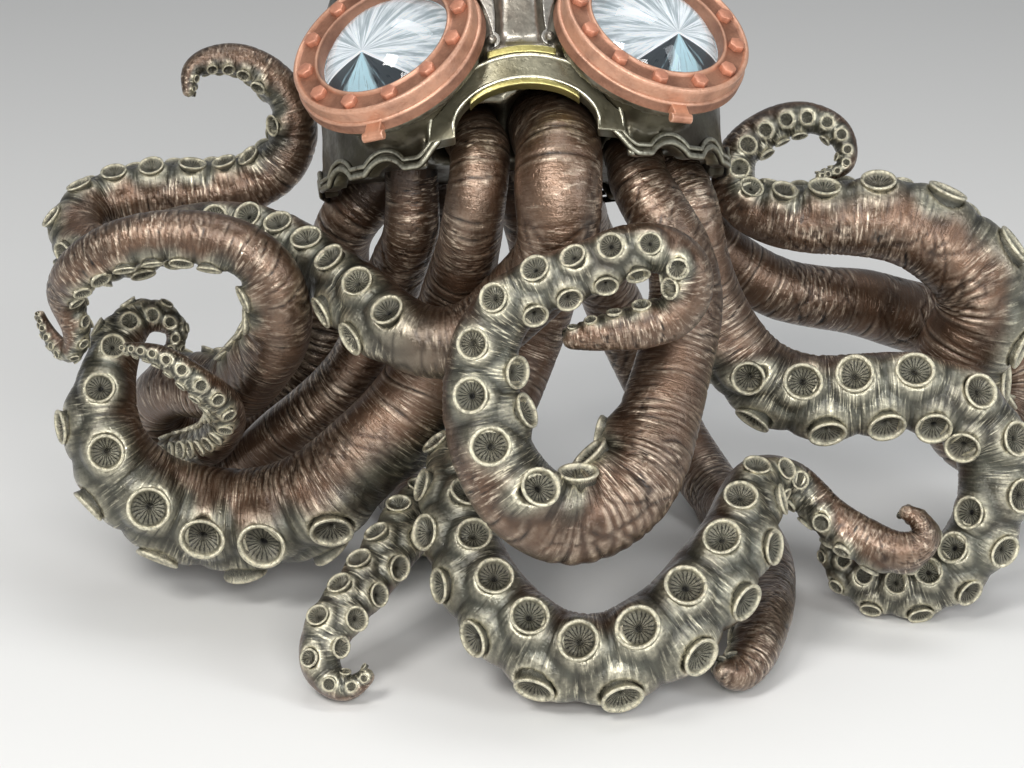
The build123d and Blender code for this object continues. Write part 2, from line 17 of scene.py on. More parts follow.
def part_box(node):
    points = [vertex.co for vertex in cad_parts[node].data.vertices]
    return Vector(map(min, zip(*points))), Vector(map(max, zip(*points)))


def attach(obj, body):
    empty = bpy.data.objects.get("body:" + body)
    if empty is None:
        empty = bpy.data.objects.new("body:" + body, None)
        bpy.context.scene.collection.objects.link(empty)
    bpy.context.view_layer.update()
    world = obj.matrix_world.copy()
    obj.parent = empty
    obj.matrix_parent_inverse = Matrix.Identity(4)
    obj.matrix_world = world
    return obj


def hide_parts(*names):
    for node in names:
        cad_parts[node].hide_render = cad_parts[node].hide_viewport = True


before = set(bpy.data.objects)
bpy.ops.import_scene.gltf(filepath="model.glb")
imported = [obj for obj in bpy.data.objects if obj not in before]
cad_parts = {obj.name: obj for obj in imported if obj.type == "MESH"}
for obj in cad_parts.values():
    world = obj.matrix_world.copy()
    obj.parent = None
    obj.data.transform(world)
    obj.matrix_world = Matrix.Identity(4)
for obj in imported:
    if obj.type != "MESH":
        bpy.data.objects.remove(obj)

MM = 0.001
FULL = 2 * math.pi
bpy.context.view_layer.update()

# %% [markdown]
# The arms were laid out on a drawing sheet that stands square to the viewer, 900 mm away, with its origin
# in the middle of the picture. The figure was then leaned back by 20 degrees and centred on its base. The
# two silvered eye discs are in both worlds, so comparing them tells where the sheet lies in the frame. No
# number is guessed.

# %% Find the drawing sheet in the frame
SIGHT = 900.0
LEAN = Matrix.Rotation(math.radians(-20), 4, "X")
HEAD_TURN = Matrix.Rotation(math.radians(-15), 4, "X") @ Matrix.Rotation(math.radians(-3.6), 4, "Y")
HEAD = Matrix.Translation((4, 0, 58)) @ HEAD_TURN
EYE_SEAT = Vector((36.3, -53, 24))
EYE_YAW = math.radians(24)
EYE_PITCH = math.radians(26)
DISC_THICK = 0.8
SIDES = {"left": -1, "right": 1}


def eye_seat(side):
    yaw = EYE_YAW * side
    flat = math.cos(EYE_PITCH)
    out = Vector((math.sin(yaw) * flat, -math.cos(yaw) * flat, math.sin(EYE_PITCH)))
    across = Vector((math.cos(yaw), math.sin(yaw), 0))
    seat = Matrix((across, out.cross(across), out)).transposed().to_4x4()
    seat.translation = (EYE_SEAT.x * side, EYE_SEAT.y, EYE_SEAT.z)
    return HEAD @ seat


def sheet_shift():
    shifts = []
    for word, side in SIDES.items():
        low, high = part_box("eye_disc_" + word)
        on_sheet = eye_seat(side) @ Vector((0, 0, DISC_THICK / 2))
        shifts.append((low + high) / (2 * MM) - LEAN @ on_sheet)
    return (shifts[0] + shifts[1]) / 2


SHIFT = Matrix.Translation(sheet_shift())
PART = Matrix.Scale(MM, 4) @ SHIFT @ LEAN
print("sheet's origin in the frame, mm", [round(v, 2) for v in SHIFT.translation])

# %% [markdown]
# The camera stands where the viewer of the sheet stands. The picture shows 307.2 mm of the sheet from edge
# to edge, and the focal length follows from that by similar triangles, so there is nothing to tune by eye.

# %% Camera
PICTURE_WIDTH = 307.2
camera_data = bpy.data.cameras.new("camera")
camera_data.sensor_width = 36.0
camera_data.lens = camera_data.sensor_width * SIGHT / PICTURE_WIDTH
camera_data.clip_start = 0.05
camera_data.clip_end = 20.0
camera = bpy.data.objects.new("camera", camera_data)
stand = SHIFT @ LEAN @ Matrix.Translation((0, -SIGHT, 0)) @ Matrix.Rotation(math.radians(90), 4, "X")
stand.translation *= MM
camera.matrix_world = stand
bpy.context.collection.objects.link(camera)
bpy.context.scene.camera = camera
print("lens", round(camera_data.lens, 1), "mm")

# %% [markdown]
# Light comes from a pale room, a large soft key from the upper left, weaker lamps from the right and the
# front and a strip above for the outline. Metal is mostly what it reflects, so a few large lamps read
# better than many small ones.

# %% Light and floor
scene = bpy.context.scene
scene.view_settings.view_transform = "Standard"
world = bpy.data.worlds.new("pale_room")
world.use_nodes = True
room = world.node_tree.nodes["Background"]
room.inputs["Color"].default_value = (0.86, 0.88, 0.90, 1)
room.inputs["Strength"].default_value = 0.31
scene.world = world


def lamp(name, place, aim, size, watts, tint):
    data = bpy.data.lights.new(name, "AREA")
    data.shape = "RECTANGLE"
    data.size, data.size_y = size
    data.energy = watts
    data.color = tint
    light = bpy.data.objects.new(name, data)
    light.location = place
    light.rotation_euler = (Vector(aim) - Vector(place)).to_track_quat("-Z", "Y").to_euler()
    bpy.context.collection.objects.link(light)


MIDDLE = (0, 0, 0.1)
lamp("key", (-0.50, -0.80, 1.00), MIDDLE, (0.34, 0.34), 8, (1.0, 0.98, 0.95))
lamp("fill", (0.9, -0.6, 0.55), MIDDLE, (0.3, 0.7), 3.5, (0.94, 0.97, 1.0))
lamp("front", (0.05, -1.0, 0.55), MIDDLE, (0.5, 0.25), 6.5, (1.0, 0.99, 0.97))
lamp("top", (0.05, 0.1, 1.2), MIDDLE, (0.8, 0.3), 3.5, (1.0, 1.0, 1.0))


def new_material(name):
    material = bpy.data.materials.new(name)
    material.use_nodes = True
    return material, material.node_tree, material.node_tree.nodes["Principled BSDF"]


def mesh_from(bm, name):
    mesh = bpy.data.meshes.new(name)
    bm.to_mesh(mesh)
    bm.free()
    return mesh


FLOOR_HALF = 6.0


def plain_floor():
    paint, _, shader = new_material("pale_floor")
    shader.inputs["Base Color"].default_value = (0.80, 0.80, 0.79, 1)
    shader.inputs["Roughness"].default_value = 0.7
    bm = bmesh.new()
    bmesh.ops.create_grid(bm, x_segments=1, y_segments=1, size=FLOOR_HALF)
    mesh = mesh_from(bm, "floor")
    mesh.materials.append(paint)
    floor = bpy.data.objects.new("floor", mesh)
    bpy.context.collection.objects.link(floor)


plain_floor()

# %% [markdown]
# A patina is dark stain left in the hollows and bare metal rubbed bright on the high spots. Both depend on
# shape, so each piece carries its own map of hollows and heights as a vertex attribute, and the shader only
# paints by it. Small helpers keep the node trees short: one makes a node and wires it, one mixes two
# colours.

# %% Helpers for shader trees
def tint(red, green, blue):
    shares = [v / 255 for v in (red, green, blue)]
    return (*[s / 12.92 if s < 0.04 else ((s + 0.055) / 1.055) ** 2.4 for s in shares], 1)


def add(tree, kind, wires=None, **settings):
    made = tree.nodes.new(kind)
    for key, value in settings.items():
        setattr(made, key, value)
    for key, value in (wires or {}).items():
        if isinstance(value, bpy.types.NodeSocket):
            tree.links.new(value, made.inputs[key])
        else:
            made.inputs[key].default_value = value
    return made


MIX_A, MIX_B, MIX_OUT = 6, 7, 2


def mix(tree, share, one, two):
    return add(tree, "ShaderNodeMix", {0: share, MIX_A: one, MIX_B: two}, data_type="RGBA").outputs[MIX_OUT]


def sums(tree, operation, one, two, clamp=False):
    made = add(tree, "ShaderNodeMath", {0: one, 1: two}, operation=operation)
    made.use_clamp = clamp
    return made.outputs[0]


def cloud(tree, size, detail, where):
    wires = {"Vector": where, "Scale": size, "Detail": detail, "Roughness": 0.6}
    return add(tree, "ShaderNodeTexNoise", wires).outputs["Fac"]


def ramp(tree, value, low, high, to_low=0.0, to_high=1.0):
    wires = {"Value": value, "From Min": low, "From Max": high, "To Min": to_low, "To Max": to_high}
    return add(tree, "ShaderNodeMapRange", wires).outputs["Result"]


# %% [markdown]
# The first shared effect is the aged metal itself. It clouds the base colour with stain, sinks the deep
# colour into the hollows and drags the rubbed colour over the heights, with a fine mottle so that no edge
# looks ruled. It puts out a colour and a roughness: stain is dull, bare metal is bright.

# %% Aged metal group
def socket(group, name, kind, direction="INPUT", value=None):
    made = group.interface.new_socket(name=name, in_out=direction, socket_type=kind)
    if value is not None:
        made.default_value = value


def aged_metal_group():
    group = bpy.data.node_groups.new("aged_metal", "ShaderNodeTree")
    for name in ("Base", "Stain", "Deep", "Rubbed"):
        socket(group, name, "NodeSocketColor", value=(0.2, 0.2, 0.2, 1))
    socket(group, "Hollow", "NodeSocketFloat", value=0.0)
    socket(group, "High", "NodeSocketFloat", value=0.0)
    socket(group, "Patch", "NodeSocketFloat", value=60.0)
    socket(group, "Color", "NodeSocketColor", "OUTPUT")
    socket(group, "Roughness", "NodeSocketFloat", "OUTPUT")
    into = group.nodes.new("NodeGroupInput").outputs
    where = group.nodes.new("ShaderNodeTexCoord").outputs["Object"]
    broad = cloud(group, into["Patch"], 4, where)
    fine = cloud(group, sums(group, "MULTIPLY", into["Patch"], 11), 3, where)
    mottle = sums(group, "SUBTRACT", fine, 0.5)
    stained = mix(group, ramp(group, broad, 0.42, 0.68), into["Base"], into["Stain"])
    soot = sums(group, "ADD", into["Hollow"], sums(group, "MULTIPLY", mottle, 0.25), clamp=True)
    shine = sums(group, "MULTIPLY", into["High"], ramp(group, fine, 0.3, 0.65, 0.35, 1.15), clamp=True)
    colour = mix(group, shine, mix(group, soot, stained, into["Deep"]), into["Rubbed"])
    dull = sums(group, "ADD", ramp(group, fine, 0.3, 0.7, 0.30, 0.44), sums(group, "MULTIPLY", soot, 0.25))
    rough = sums(group, "SUBTRACT", dull, sums(group, "MULTIPLY", shine, 0.10))
    group.links.new(colour, group.nodes.new("NodeGroupOutput").inputs["Color"])
    group.links.new(rough, group.nodes["Group Output"].inputs["Roughness"])
    return group


AGED = aged_metal_group()
print("group", AGED.name, "made")


# %% [markdown]
# The second shared effect is the skin of a casting: a fine pebble left by the mould, with a few deeper
# pits. It gives a height only, and each material decides how deep to press it.

# %% Cast skin group
def cast_skin_group():
    group = bpy.data.node_groups.new("cast_skin", "ShaderNodeTree")
    socket(group, "Size", "NodeSocketFloat", value=900.0)
    socket(group, "Height", "NodeSocketFloat", "OUTPUT")
    into = group.nodes.new("NodeGroupInput").outputs
    where = group.nodes.new("ShaderNodeTexCoord").outputs["Object"]
    pebble = cloud(group, into["Size"], 5, where)
    pits = ramp(group, cloud(group, sums(group, "MULTIPLY", into["Size"], 0.45), 2, where), 0.28, 0.42)
    height = sums(group, "ADD", pebble, sums(group, "MULTIPLY", pits, 0.6))
    group.links.new(height, group.nodes.new("NodeGroupOutput").inputs["Height"])
    return group


SKIN = cast_skin_group()


# %% [markdown]
# One function makes every metal finish. The vertex attribute named patina brings the map: red says how far
# a second set of colours takes over, green is hollow, blue is high. Values that are the same all over, such
# as the metal share, are set on the shader itself, because a model that is exported keeps them only there.

# %% Metal finishes
LACQUER_ROUGHNESS = 0.22
GRAIN_DEPTH = 0.0003


def coat(base, stain_and_shade, deep, rubbed):
    return [tint(*colour) for colour in (base, stain_and_shade, deep, rubbed)]


def finish(name, first, second=None, patch=60.0, metal=0.85, press=0.25, grain=900.0, lacquer=0.3):
    material, tree, shader = new_material(name)
    shader.inputs["Metallic"].default_value = metal
    shader.inputs["Coat Weight"].default_value = lacquer
    shader.inputs["Coat Roughness"].default_value = LACQUER_ROUGHNESS
    mapped = add(tree, "ShaderNodeAttribute", attribute_name="patina")
    parts = add(tree, "ShaderNodeSeparateColor", {"Color": mapped.outputs["Color"]}).outputs
    colours = first
    if second:
        colours = [mix(tree, parts["Red"], one, two) for one, two in zip(first, second)]
    wires = dict(zip(("Base", "Stain", "Deep", "Rubbed"), colours))
    wires.update({"Hollow": parts["Green"], "High": parts["Blue"], "Patch": patch})
    aged = add(tree, "ShaderNodeGroup", wires, node_tree=AGED)
    skin = add(tree, "ShaderNodeGroup", {"Size": grain}, node_tree=SKIN)
    wires = {"Height": skin.outputs["Height"], "Strength": press, "Distance": GRAIN_DEPTH}
    bump = add(tree, "ShaderNodeBump", wires)
    tree.links.new(aged.outputs["Color"], shader.inputs["Base Color"])
    tree.links.new(aged.outputs["Roughness"], shader.inputs["Roughness"])
    for normal in ("Normal", "Coat Normal"):
        tree.links.new(bump.outputs["Normal"], shader.inputs[normal])
    return material


HOOD_FINISH = finish(
    "hood_bronze", coat((96, 91, 74), (66, 58, 45), (20, 18, 15), (186, 184, 166)),
    coat((142, 137, 126), (112, 102, 92), (34, 31, 28), (214, 212, 204)))
BAND_FINISH = finish("band_bronze", coat((154, 150, 130), (114, 109, 88), (28, 26, 20), (226, 223, 202)))
STRAP_FINISH = finish("strap_grey", coat((150, 147, 140), (112, 107, 100), (30, 28, 25), (222, 221, 216)))
BRASS_FINISH = finish("trim_brass", coat((180, 171, 108), (138, 128, 76), (52, 45, 26), (236, 230, 176)))
COPPER_FINISH = finish(
    "porthole_copper", coat((194, 140, 112), (142, 94, 71), (52, 32, 24), (246, 210, 186)),
    metal=0.35, patch=110.0, press=0.4, lacquer=0.1)
BOLT_FINISH = finish(
    "bolt_copper", coat((206, 130, 100), (168, 98, 74), (58, 34, 26), (244, 196, 168)),
    metal=0.4, patch=300.0, lacquer=0.15)
print("metal finishes ready")

# %% [markdown]
# The arms come next, because they are most of what one sees. On the real piece each arm is a separate
# casting, plugged into the core under the hood. An arm is a fat tube that follows a route, so the route is
# written down first: a few points given on the sheet. Each point says how far across, up and
# toward the viewer it lies, how thick the arm is there, and which way its sucker side faces (0 is at the
# viewer).

# %% Arm routes on the sheet
Arm = namedtuple("Arm", "root bare path")
ARMS = {
    "arm_left_outer": Arm(root=(-103, 44, 10), bare=0.45, path=(
        (-47, 52, -16, 9.3, -180), (-52, 36, -38, 9.0, -180), (-56, 14, -52, 9.0, -180),
        (-65, -5, -64, 9.0, -180), (-80, -17, -76, 8.7, -180), (-97, -16, -78, 8.7, -180),
        (-106, -8, -66, 8.7, -170), (-100, -1, -48, 9.0, -150), (-85, -2, -32, 9.3, -130),
        (-74, 7, -8, 9.3, -120), (-69, 22, 14, 9.0, -115), (-74, 35, 20, 8.4, -115),
        (-87, 43, 21, 7.8, -115), (-104, 45, 20, 7.2, -115), (-121, 41, 17, 6.9, -110),
        (-131, 34, 9, 6.3, -100), (-134, 25, -3, 5.1, -90), (-131, 16, -9, 3.9, -80),
        (-133, 10, -16, 3.0, -70), (-138, 14, -20, 2.4, -60), (-142, 22, -20, 1.2, -60))),
    "arm_left_inner": Arm(root=(-62, 38, 3), bare=0.55, path=(
        (-30, 49, 12, 8.1, -180), (-33, 38, 0, 8.7, -180), (-38, 24, -14, 9.0, -180),
        (-50, 1, -28, 9.0, -180), (-67, -14, -42, 8.7, -170), (-80, -26, -54, 7.8, -150),
        (-90, -37, -66, 6.9, -120), (-100, -39, -74, 6.3, -100), (-107, -31, -72, 6.0, -80),
        (-102, -23, -58, 6.0, -60), (-92, -19, -36, 6.0, -50), (-86, -13, -12, 5.7, -45),
        (-87, -5, 6, 5.1, -40), (-94, 1, 15, 4.2, -40), (-104, 8, 18, 3.3, -40),
        (-117, 11, 16, 1.5, -40))),
    "arm_left_front": Arm(root=(-32, 32, 13), bare=0.33, path=(
        (-10, 71, 38, 9.0, -180), (-11, 54, 43, 9.3, -180), (-13, 42, 32, 9.6, -175),
        (-17, 25, 12, 11.1, -165), (-26, 1, -4, 12.6, -125), (-46, -23, -10, 13.8, -85),
        (-67, -37, -20, 14.1, -70), (-89, -39, -24, 14.1, -60), (-109, -32, -20, 13.2, -45),
        (-121, -17, -16, 11.4, -35), (-122, -1, -18, 9.3, -35), (-117, 13, -24, 6.9, -40),
        (-109, 20, -28, 4.8, -40), (-101, 16, -29, 3.3, -40), (-103, 10, -29, 2.1, -40),
        (-109, 9, -29, 1.2, -40))),
    "arm_center_left": Arm(root=(16, 27, 13), bare=0.30, path=(
        (14, 70, 46, 13.2, -180), (14, 57, 53, 13.5, -180), (14, 49, 52, 12.9, -175),
        (12, 38, 47, 12.3, -165), (1, 25, 36, 11.4, -110), (-13, 14, 32, 11.1, -50),
        (-26, 13, 30, 10.8, -25), (-41, 22, 20, 10.5, -20), (-56, 34, 3, 9.9, -15),
        (-73, 44, -12, 8.7, -10), (-89, 47, -18, 7.8, -20), (-109, 43, -18, 7.8, -35),
        (-124, 40, -22, 7.8, -60), (-130, 46, -33, 7.8, -80), (-124, 53, -44, 7.8, -90),
        (-107, 57, -47, 8.1, -90), (-86, 58, -47, 8.1, -90), (-70, 65, -45, 7.5, -90),
        (-65, 79, -41, 6.6, -90), (-72, 92, -37, 5.4, -90), (-85, 98, -34, 4.2, -90),
        (-96, 94, -32, 3.0, -90), (-97, 86, -31, 1.5, -90))),
    "arm_center_right": Arm(root=(0, 0, 9), bare=0.25, path=(
        (10, 31, -22, 9.9, 60), (4, 10, -28, 9.9, 60), (-5, -11, -20, 9.6, 50),
        (-15, -27, 5, 9.6, 30), (-14, -48, 22, 10.8, 18), (-2, -69, 34, 12.0, 14),
        (17, -81, 40, 12.9, 14), (40, -77, 40, 13.5, 14), (58, -60, 34, 12.6, 14),
        (69, -41, 22, 10.2, 16), (74, -29, 8, 7.5, 25), (84, -29, 0, 5.7, 25),
        (94, -38, 2, 5.7, 60), (107, -47, 4, 6.6, 120), (118, -50, 6, 6.0, 160),
        (124, -46, 6, 4.5, 170), (121, -40, 5, 3.0, 180), (116, -38, 4, 1.8, 180))),
    "arm_right_front": Arm(root=(54, 38, 5), bare=0.30, path=(
        (38, 62, 32, 9.0, 180), (46, 47, 38, 9.9, 180), (52, 31, 34, 10.8, 175),
        (50, 12, 36, 11.7, 165), (44, -11, 44, 12.6, 150), (35, -32, 54, 13.2, 120),
        (17, -41, 60, 13.2, 95), (0, -31, 63, 12.9, 50), (-9, -9, 63, 11.7, 28),
        (-8, 12, 64, 10.2, 20), (4, 27, 67, 8.7, 5), (23, 35, 70, 8.1, 10),
        (41, 41, 71, 7.5, 30), (53, 34, 70, 6.9, 70), (50, 22, 68, 6.9, 100),
        (35, 16, 68, 6.0, 100), (22, 14, 67, 4.2, 100), (15, 13, 66, 2.4, 100))),
    "arm_right_inner": Arm(root=(84, 42, 9), bare=0.22, path=(
        (53, 55, 10, 8.4, 175), (56, 40, 6, 8.7, 165), (62, 21, -4, 9.6, 120),
        (74, 4, -8, 11.1, 45), (91, -3, -8, 12.0, 15), (112, -2, -8, 11.7, 10),
        (131, -5, -10, 11.4, 8), (143, -18, -14, 10.8, 5), (143, -38, -16, 10.2, 0),
        (133, -54, -19, 9.3, -10), (118, -61, -21, 8.1, -20), (104, -58, -22, 6.3, -30),
        (97, -50, -22, 4.2, -30), (98, -43, -21, 2.4, -30), (103, -42, -20, 1.2, -30))),
    "arm_right_outer": Arm(root=(118, 42, 12), bare=0.45, path=(
        (65, 38, -38, 8.7, 180), (82, 28, -46, 9.3, 180), (101, 25, -56, 9.9, 175),
        (124, 19, -72, 10.8, 165), (145, 10, -86, 11.4, 150), (154, -4, -80, 11.4, 140),
        (146, -17, -66, 11.4, 130), (135, -11, -52, 12.0, 120), (133, 6, -40, 12.9, 110),
        (140, 25, -30, 13.2, 105), (129, 42, -25, 12.6, 100), (103, 49, -22, 10.8, 95),
        (79, 50, -22, 8.4, 85), (68, 56, -24, 7.2, 60), (67, 67, -26, 6.3, 40),
        (75, 76, -27, 5.4, 40), (87, 80, -26, 4.8, 40), (99, 74, -24, 3.9, 40),
        (100, 66, -22, 2.7, 40), (91, 62, -20, 1.2, 40))),
    "arm_rear_left": Arm(root=(-138, 38, 13), bare=0.50, path=(
        (-25, 34, -80, 8.7, 180), (-32, 4, -104, 8.7, 180), (-36, -20, -104, 8.7, 150),
        (-30, -36, -82, 8.7, 90), (-22, -41, -50, 8.7, 40), (-25, -38, -18, 8.4, 10),
        (-33, -45, 6, 8.1, 5), (-44, -60, 20, 7.8, 5), (-55, -74, 30, 7.5, 0),
        (-57, -85, 34, 6.0, -20), (-50, -91, 36, 4.2, -40), (-42, -86, 38, 2.1, -40))),
    "arm_rear_right": Arm(root=(160, 38, 16), bare=0.50, path=(
        (26, 34, -84, 8.7, 180), (40, 4, -106, 8.7, 180), (53, -21, -102, 8.7, 180),
        (67, -39, -76, 8.4, 170), (76, -53, -42, 8.1, 160), (77, -66, -6, 7.8, 150),
        (74, -78, 22, 7.2, 150), (67, -87, 33, 5.4, 150), (61, -85, 37, 2.4, 150))),
}
print("arms", len(ARMS), "points", sum(len(arm.path) for arm in ARMS.values()))

# %% [markdown]
# Straight runs between points would look like bent pipe, so a cubic curve is laid through them: it leaves
# the hood in a straight line and bends as little as it can from there on. The curve is then cut into rings
# at an even step. Each ring knows its place, its direction, its thickness, and where its sucker side is.

# %% Smooth routes, cut into rings
STUB = 9.0
RING_STEP = 0.6
FINE = 40
EVENED_RINGS = 6
VIEWER = np.array([0.0, -1.0, 0.0])
Route = namedtuple("Route", "run place along radius belly flank bend girth")


def unit(vectors):
    return vectors / np.linalg.norm(vectors, axis=-1, keepdims=True)


def sheet_point(across, up, toward):
    near = 1 - toward / SIGHT
    return (across * near, -toward, up * near)


def curve_bends(points, spans, aim):
    count = len(points)
    rates = np.diff(points, axis=0) / spans[:, None]
    left = np.zeros((count, count))
    right = np.zeros((count, 3))
    left[0, :2] = 2 * spans[0], spans[0]
    right[0] = 6 * (rates[0] - aim)
    for i in range(1, count - 1):
        left[i, i - 1:i + 2] = spans[i - 1], 2 * (spans[i - 1] + spans[i]), spans[i]
        right[i] = 6 * (rates[i] - rates[i - 1])
    left[-1, -1] = 1
    return np.linalg.solve(left, right)


def evened(values, window):
    pad = np.pad(values, window, mode="edge")
    return np.convolve(pad, np.ones(2 * window + 1) / (2 * window + 1), "valid")


def arm_route(arm):
    angle, reach, height = arm.root
    turn = math.radians(angle)
    start = np.array(HEAD @ Vector((reach * math.sin(turn), -reach * math.cos(turn), height)))
    knots = np.array([sheet_point(*p[:3]) for p in arm.path])
    aim = unit(knots[0] - start)
    points = np.vstack([start + aim * STUB, knots])
    spans = np.linalg.norm(np.diff(points, axis=0), axis=1)
    bends = curve_bends(points, spans, aim)
    line = [start]
    mark = [-STUB]
    marks = np.r_[0, np.cumsum(spans)]
    for i, span in enumerate(spans):
        x = np.linspace(0, span, FINE, endpoint=False)[:, None]
        y = span - x
        bow = (bends[i] * y ** 3 + bends[i + 1] * x ** 3) / (6 * span)
        first, second = (points[k] / span - bends[k] * span / 6 for k in (i, i + 1))
        chord = first * y + second * x
        line += list(bow + chord)
        mark += list(marks[i] + x[:, 0])
    line = np.array(line + [points[-1]])
    mark = np.array(mark + [marks[-1]])
    run = np.r_[0, np.cumsum(np.linalg.norm(np.diff(line, axis=0), axis=1))]
    even = np.linspace(0, run[-1], int(run[-1] / RING_STEP))
    place = np.column_stack([np.interp(even, run, line[:, k]) for k in range(3)])
    along = unit(np.gradient(place, even, axis=0))
    here = np.interp(even, run, mark)
    thick = [p[3] * (1 - p[2] / SIGHT) for p in arm.path]
    radius = evened(np.interp(here, marks, [thick[0]] + thick), EVENED_RINGS)
    faces = [p[4] for p in arm.path]
    facing = np.radians(evened(np.interp(here, marks, [faces[0]] + faces), EVENED_RINGS))[:, None]
    near = unit(VIEWER - along * (along @ VIEWER)[:, None])
    belly = near * np.cos(facing) + np.cross(along, near) * np.sin(facing)
    bend = np.gradient(along, even, axis=0)
    girth = np.cumsum(RING_STEP / np.maximum(radius, 1.0))
    return Route(even, place, along, radius, belly, np.cross(along, belly), bend, girth)


ROUTES = {name: arm_route(arm) for name, arm in ARMS.items()}
print("rings", {name: len(route.run) for name, route in ROUTES.items()})

# %% [markdown]
# Suckers sit in two rows, one each side of the middle of the sucker side, and shrink with the arm. Their
# places are worked out before the skin is made, because the skin swells up round each of them. A sucker
# that would run into another sucker or arm is left off, as the maker of the model had to do.

# %% Sucker places
SUCKER_SHARE = 0.51
SUCKER_HEIGHT = 0.30
SUCKER_PITCH = 1.36
SUCKER_ROW = math.radians(36)
SUCKER_LEAST = 0.55
SUCKER_ROOM = 0.5
SUCKER_APART = 0.92
Sucker = namedtuple("Sucker", "ring row size")


def sucker_places(name):
    route = ROUTES[name]
    suckers = []
    here = route.run[-1] * ARMS[name].bare
    row = SUCKER_ROW
    while here < route.run[-1] - RING_STEP:
        ring = int(here / RING_STEP)
        size = max(route.radius[ring] * SUCKER_SHARE, SUCKER_LEAST)
        rim = sucker_rim(route, ring, row)
        gaps = [np.linalg.norm(rim - sucker_rim(route, s.ring, s.row)) / (s.size + size) for s in suckers]
        if min(gaps, default=1) >= SUCKER_APART and clear_of_others(name, rim, size):
            suckers.append(Sucker(ring, row, size))
        row = -row
        here += size * SUCKER_PITCH
    return suckers


def sucker_side(route, ring, row):
    return route.belly[ring] * math.cos(row) + route.flank[ring] * math.sin(row)


def sucker_rim(route, ring, row):
    return route.place[ring] + sucker_side(route, ring, row) * route.radius[ring] * (1 + SUCKER_HEIGHT)


def clear_of_others(name, rim, size):
    for other, path in ROUTES.items():
        gap = np.linalg.norm(path.place - rim, axis=1) - path.radius
        if other != name and gap.min() < size * SUCKER_ROOM:
            return False
    return True


SUCKERS = {name: sucker_places(name) for name in ARMS}
print("suckers", {name: len(found) for name, found in SUCKERS.items()})

# %% [markdown]
# Wrinkles are random, but not noise: they are lines. A smooth random field crosses zero along winding
# lines, so pressing a groove wherever the field is near zero draws creases. Stretching the field round the
# arm gives ring creases, and slanting it both ways gives the crossed folds seen where an arm swells.

# %% Random fields and grooves
TABLE = 256


def field(x, around, cells, seed):
    table = np.random.default_rng(seed).uniform(-1, 1, (TABLE, cells))
    y = around * cells
    i, j = np.floor(x).astype(int), np.floor(y).astype(int)
    s, t = x - i, y - j
    s, t = s * s * (3 - 2 * s), t * t * (3 - 2 * t)
    corner = [[table[(i + a) % TABLE, (j + b) % cells] for b in (0, 1)] for a in (0, 1)]
    low = corner[0][0] + (corner[0][1] - corner[0][0]) * t
    high = corner[1][0] + (corner[1][1] - corner[1][0]) * t
    return low + (high - low) * s


def groove(values, width):
    return np.clip(1 - np.abs(values) / width, 0, 1) ** 1.5


def step(values, low, high):
    t = np.clip((values - low) / (high - low), 0, 1)
    return t * t * (3 - 2 * t)


# %% [markdown]
# The skin starts as a flat grid with as many rows as the arm has rings. It is rolled into a tube, its seam
# and its two ends are welded, and then every vertex is sent to its ring, at a distance from the route that
# carries the swelling round the suckers, the creases on the back, the fine folds inside each bend and a
# little unevenness. The first ring is pushed up into the hood, so that no cut end shows under the hem.

# %% Arm skin
COLUMNS = 80


def rolled_grid(rows, columns=COLUMNS):
    bm = bmesh.new()
    bm.loops.layers.uv.new("skin")
    bmesh.ops.create_grid(bm, x_segments=rows, y_segments=columns, size=0.5, calc_uvs=True)
    home = bm.verts.layers.float_vector.new("home")
    for vert in bm.verts:
        share, around = vert.co.x + 0.5, vert.co.y + 0.5
        vert[home] = (share, around, 0)
        reach = 0 if share < 1e-4 or share > 1 - 1e-4 else 1
        turn = around * FULL
        vert.co = (reach * math.cos(turn), reach * math.sin(turn), share * rows)
    bmesh.ops.remove_doubles(bm, verts=bm.verts, dist=1e-4)
    bmesh.ops.recalc_face_normals(bm, faces=bm.faces)
    return mesh_from(bm, "skin")


def home_map(mesh):
    home = np.empty(len(mesh.vertices) * 3)
    mesh.attributes["home"].data.foreach_get("vector", home)
    return home.reshape(-1, 3).T[:2]


def carried(points, matrix):
    moved = np.array(matrix)
    return points @ moved[:3, :3].T + moved[:3, 3]


SWELL_REACH = 2.4
SWELL_LIFT, SWELL_SPAN = 0.4, (0.8, 2.0)
PIT_DEPTH, PIT_SPAN = 0.9, (0.5, 0.74)


def swelling(name, ring, turn):
    route = ROUTES[name]
    lift, sunk = np.zeros(len(ring)), np.zeros(len(ring))
    for sucker in SUCKERS[name]:
        reach = sucker.size * SWELL_REACH
        close = np.abs(route.run[ring] - route.run[sucker.ring]) < reach
        apart = (turn[close] - sucker.row + math.pi) % FULL - math.pi
        side = apart * route.radius[ring[close]]
        ahead = route.run[ring[close]] - route.run[sucker.ring]
        span = np.hypot(ahead, side) / sucker.size
        lift[close] = np.maximum(lift[close], sucker.size * SWELL_LIFT * (1 - step(span, *SWELL_SPAN)))
        sunk[close] = np.maximum(sunk[close], sucker.size * PIT_DEPTH * (1 - step(span, *PIT_SPAN)))
    return lift - sunk


BACK_SPAN = (0.35, -0.5)
RING_SPACING, RING_WIDTH = 0.46, 0.12
CROSS_SPACING, CROSS_WIDTH = 0.42, 0.13
LINE_SPACING, LINE_WIDTH = 0.13, 0.4
FOLD_SPACING = 0.26


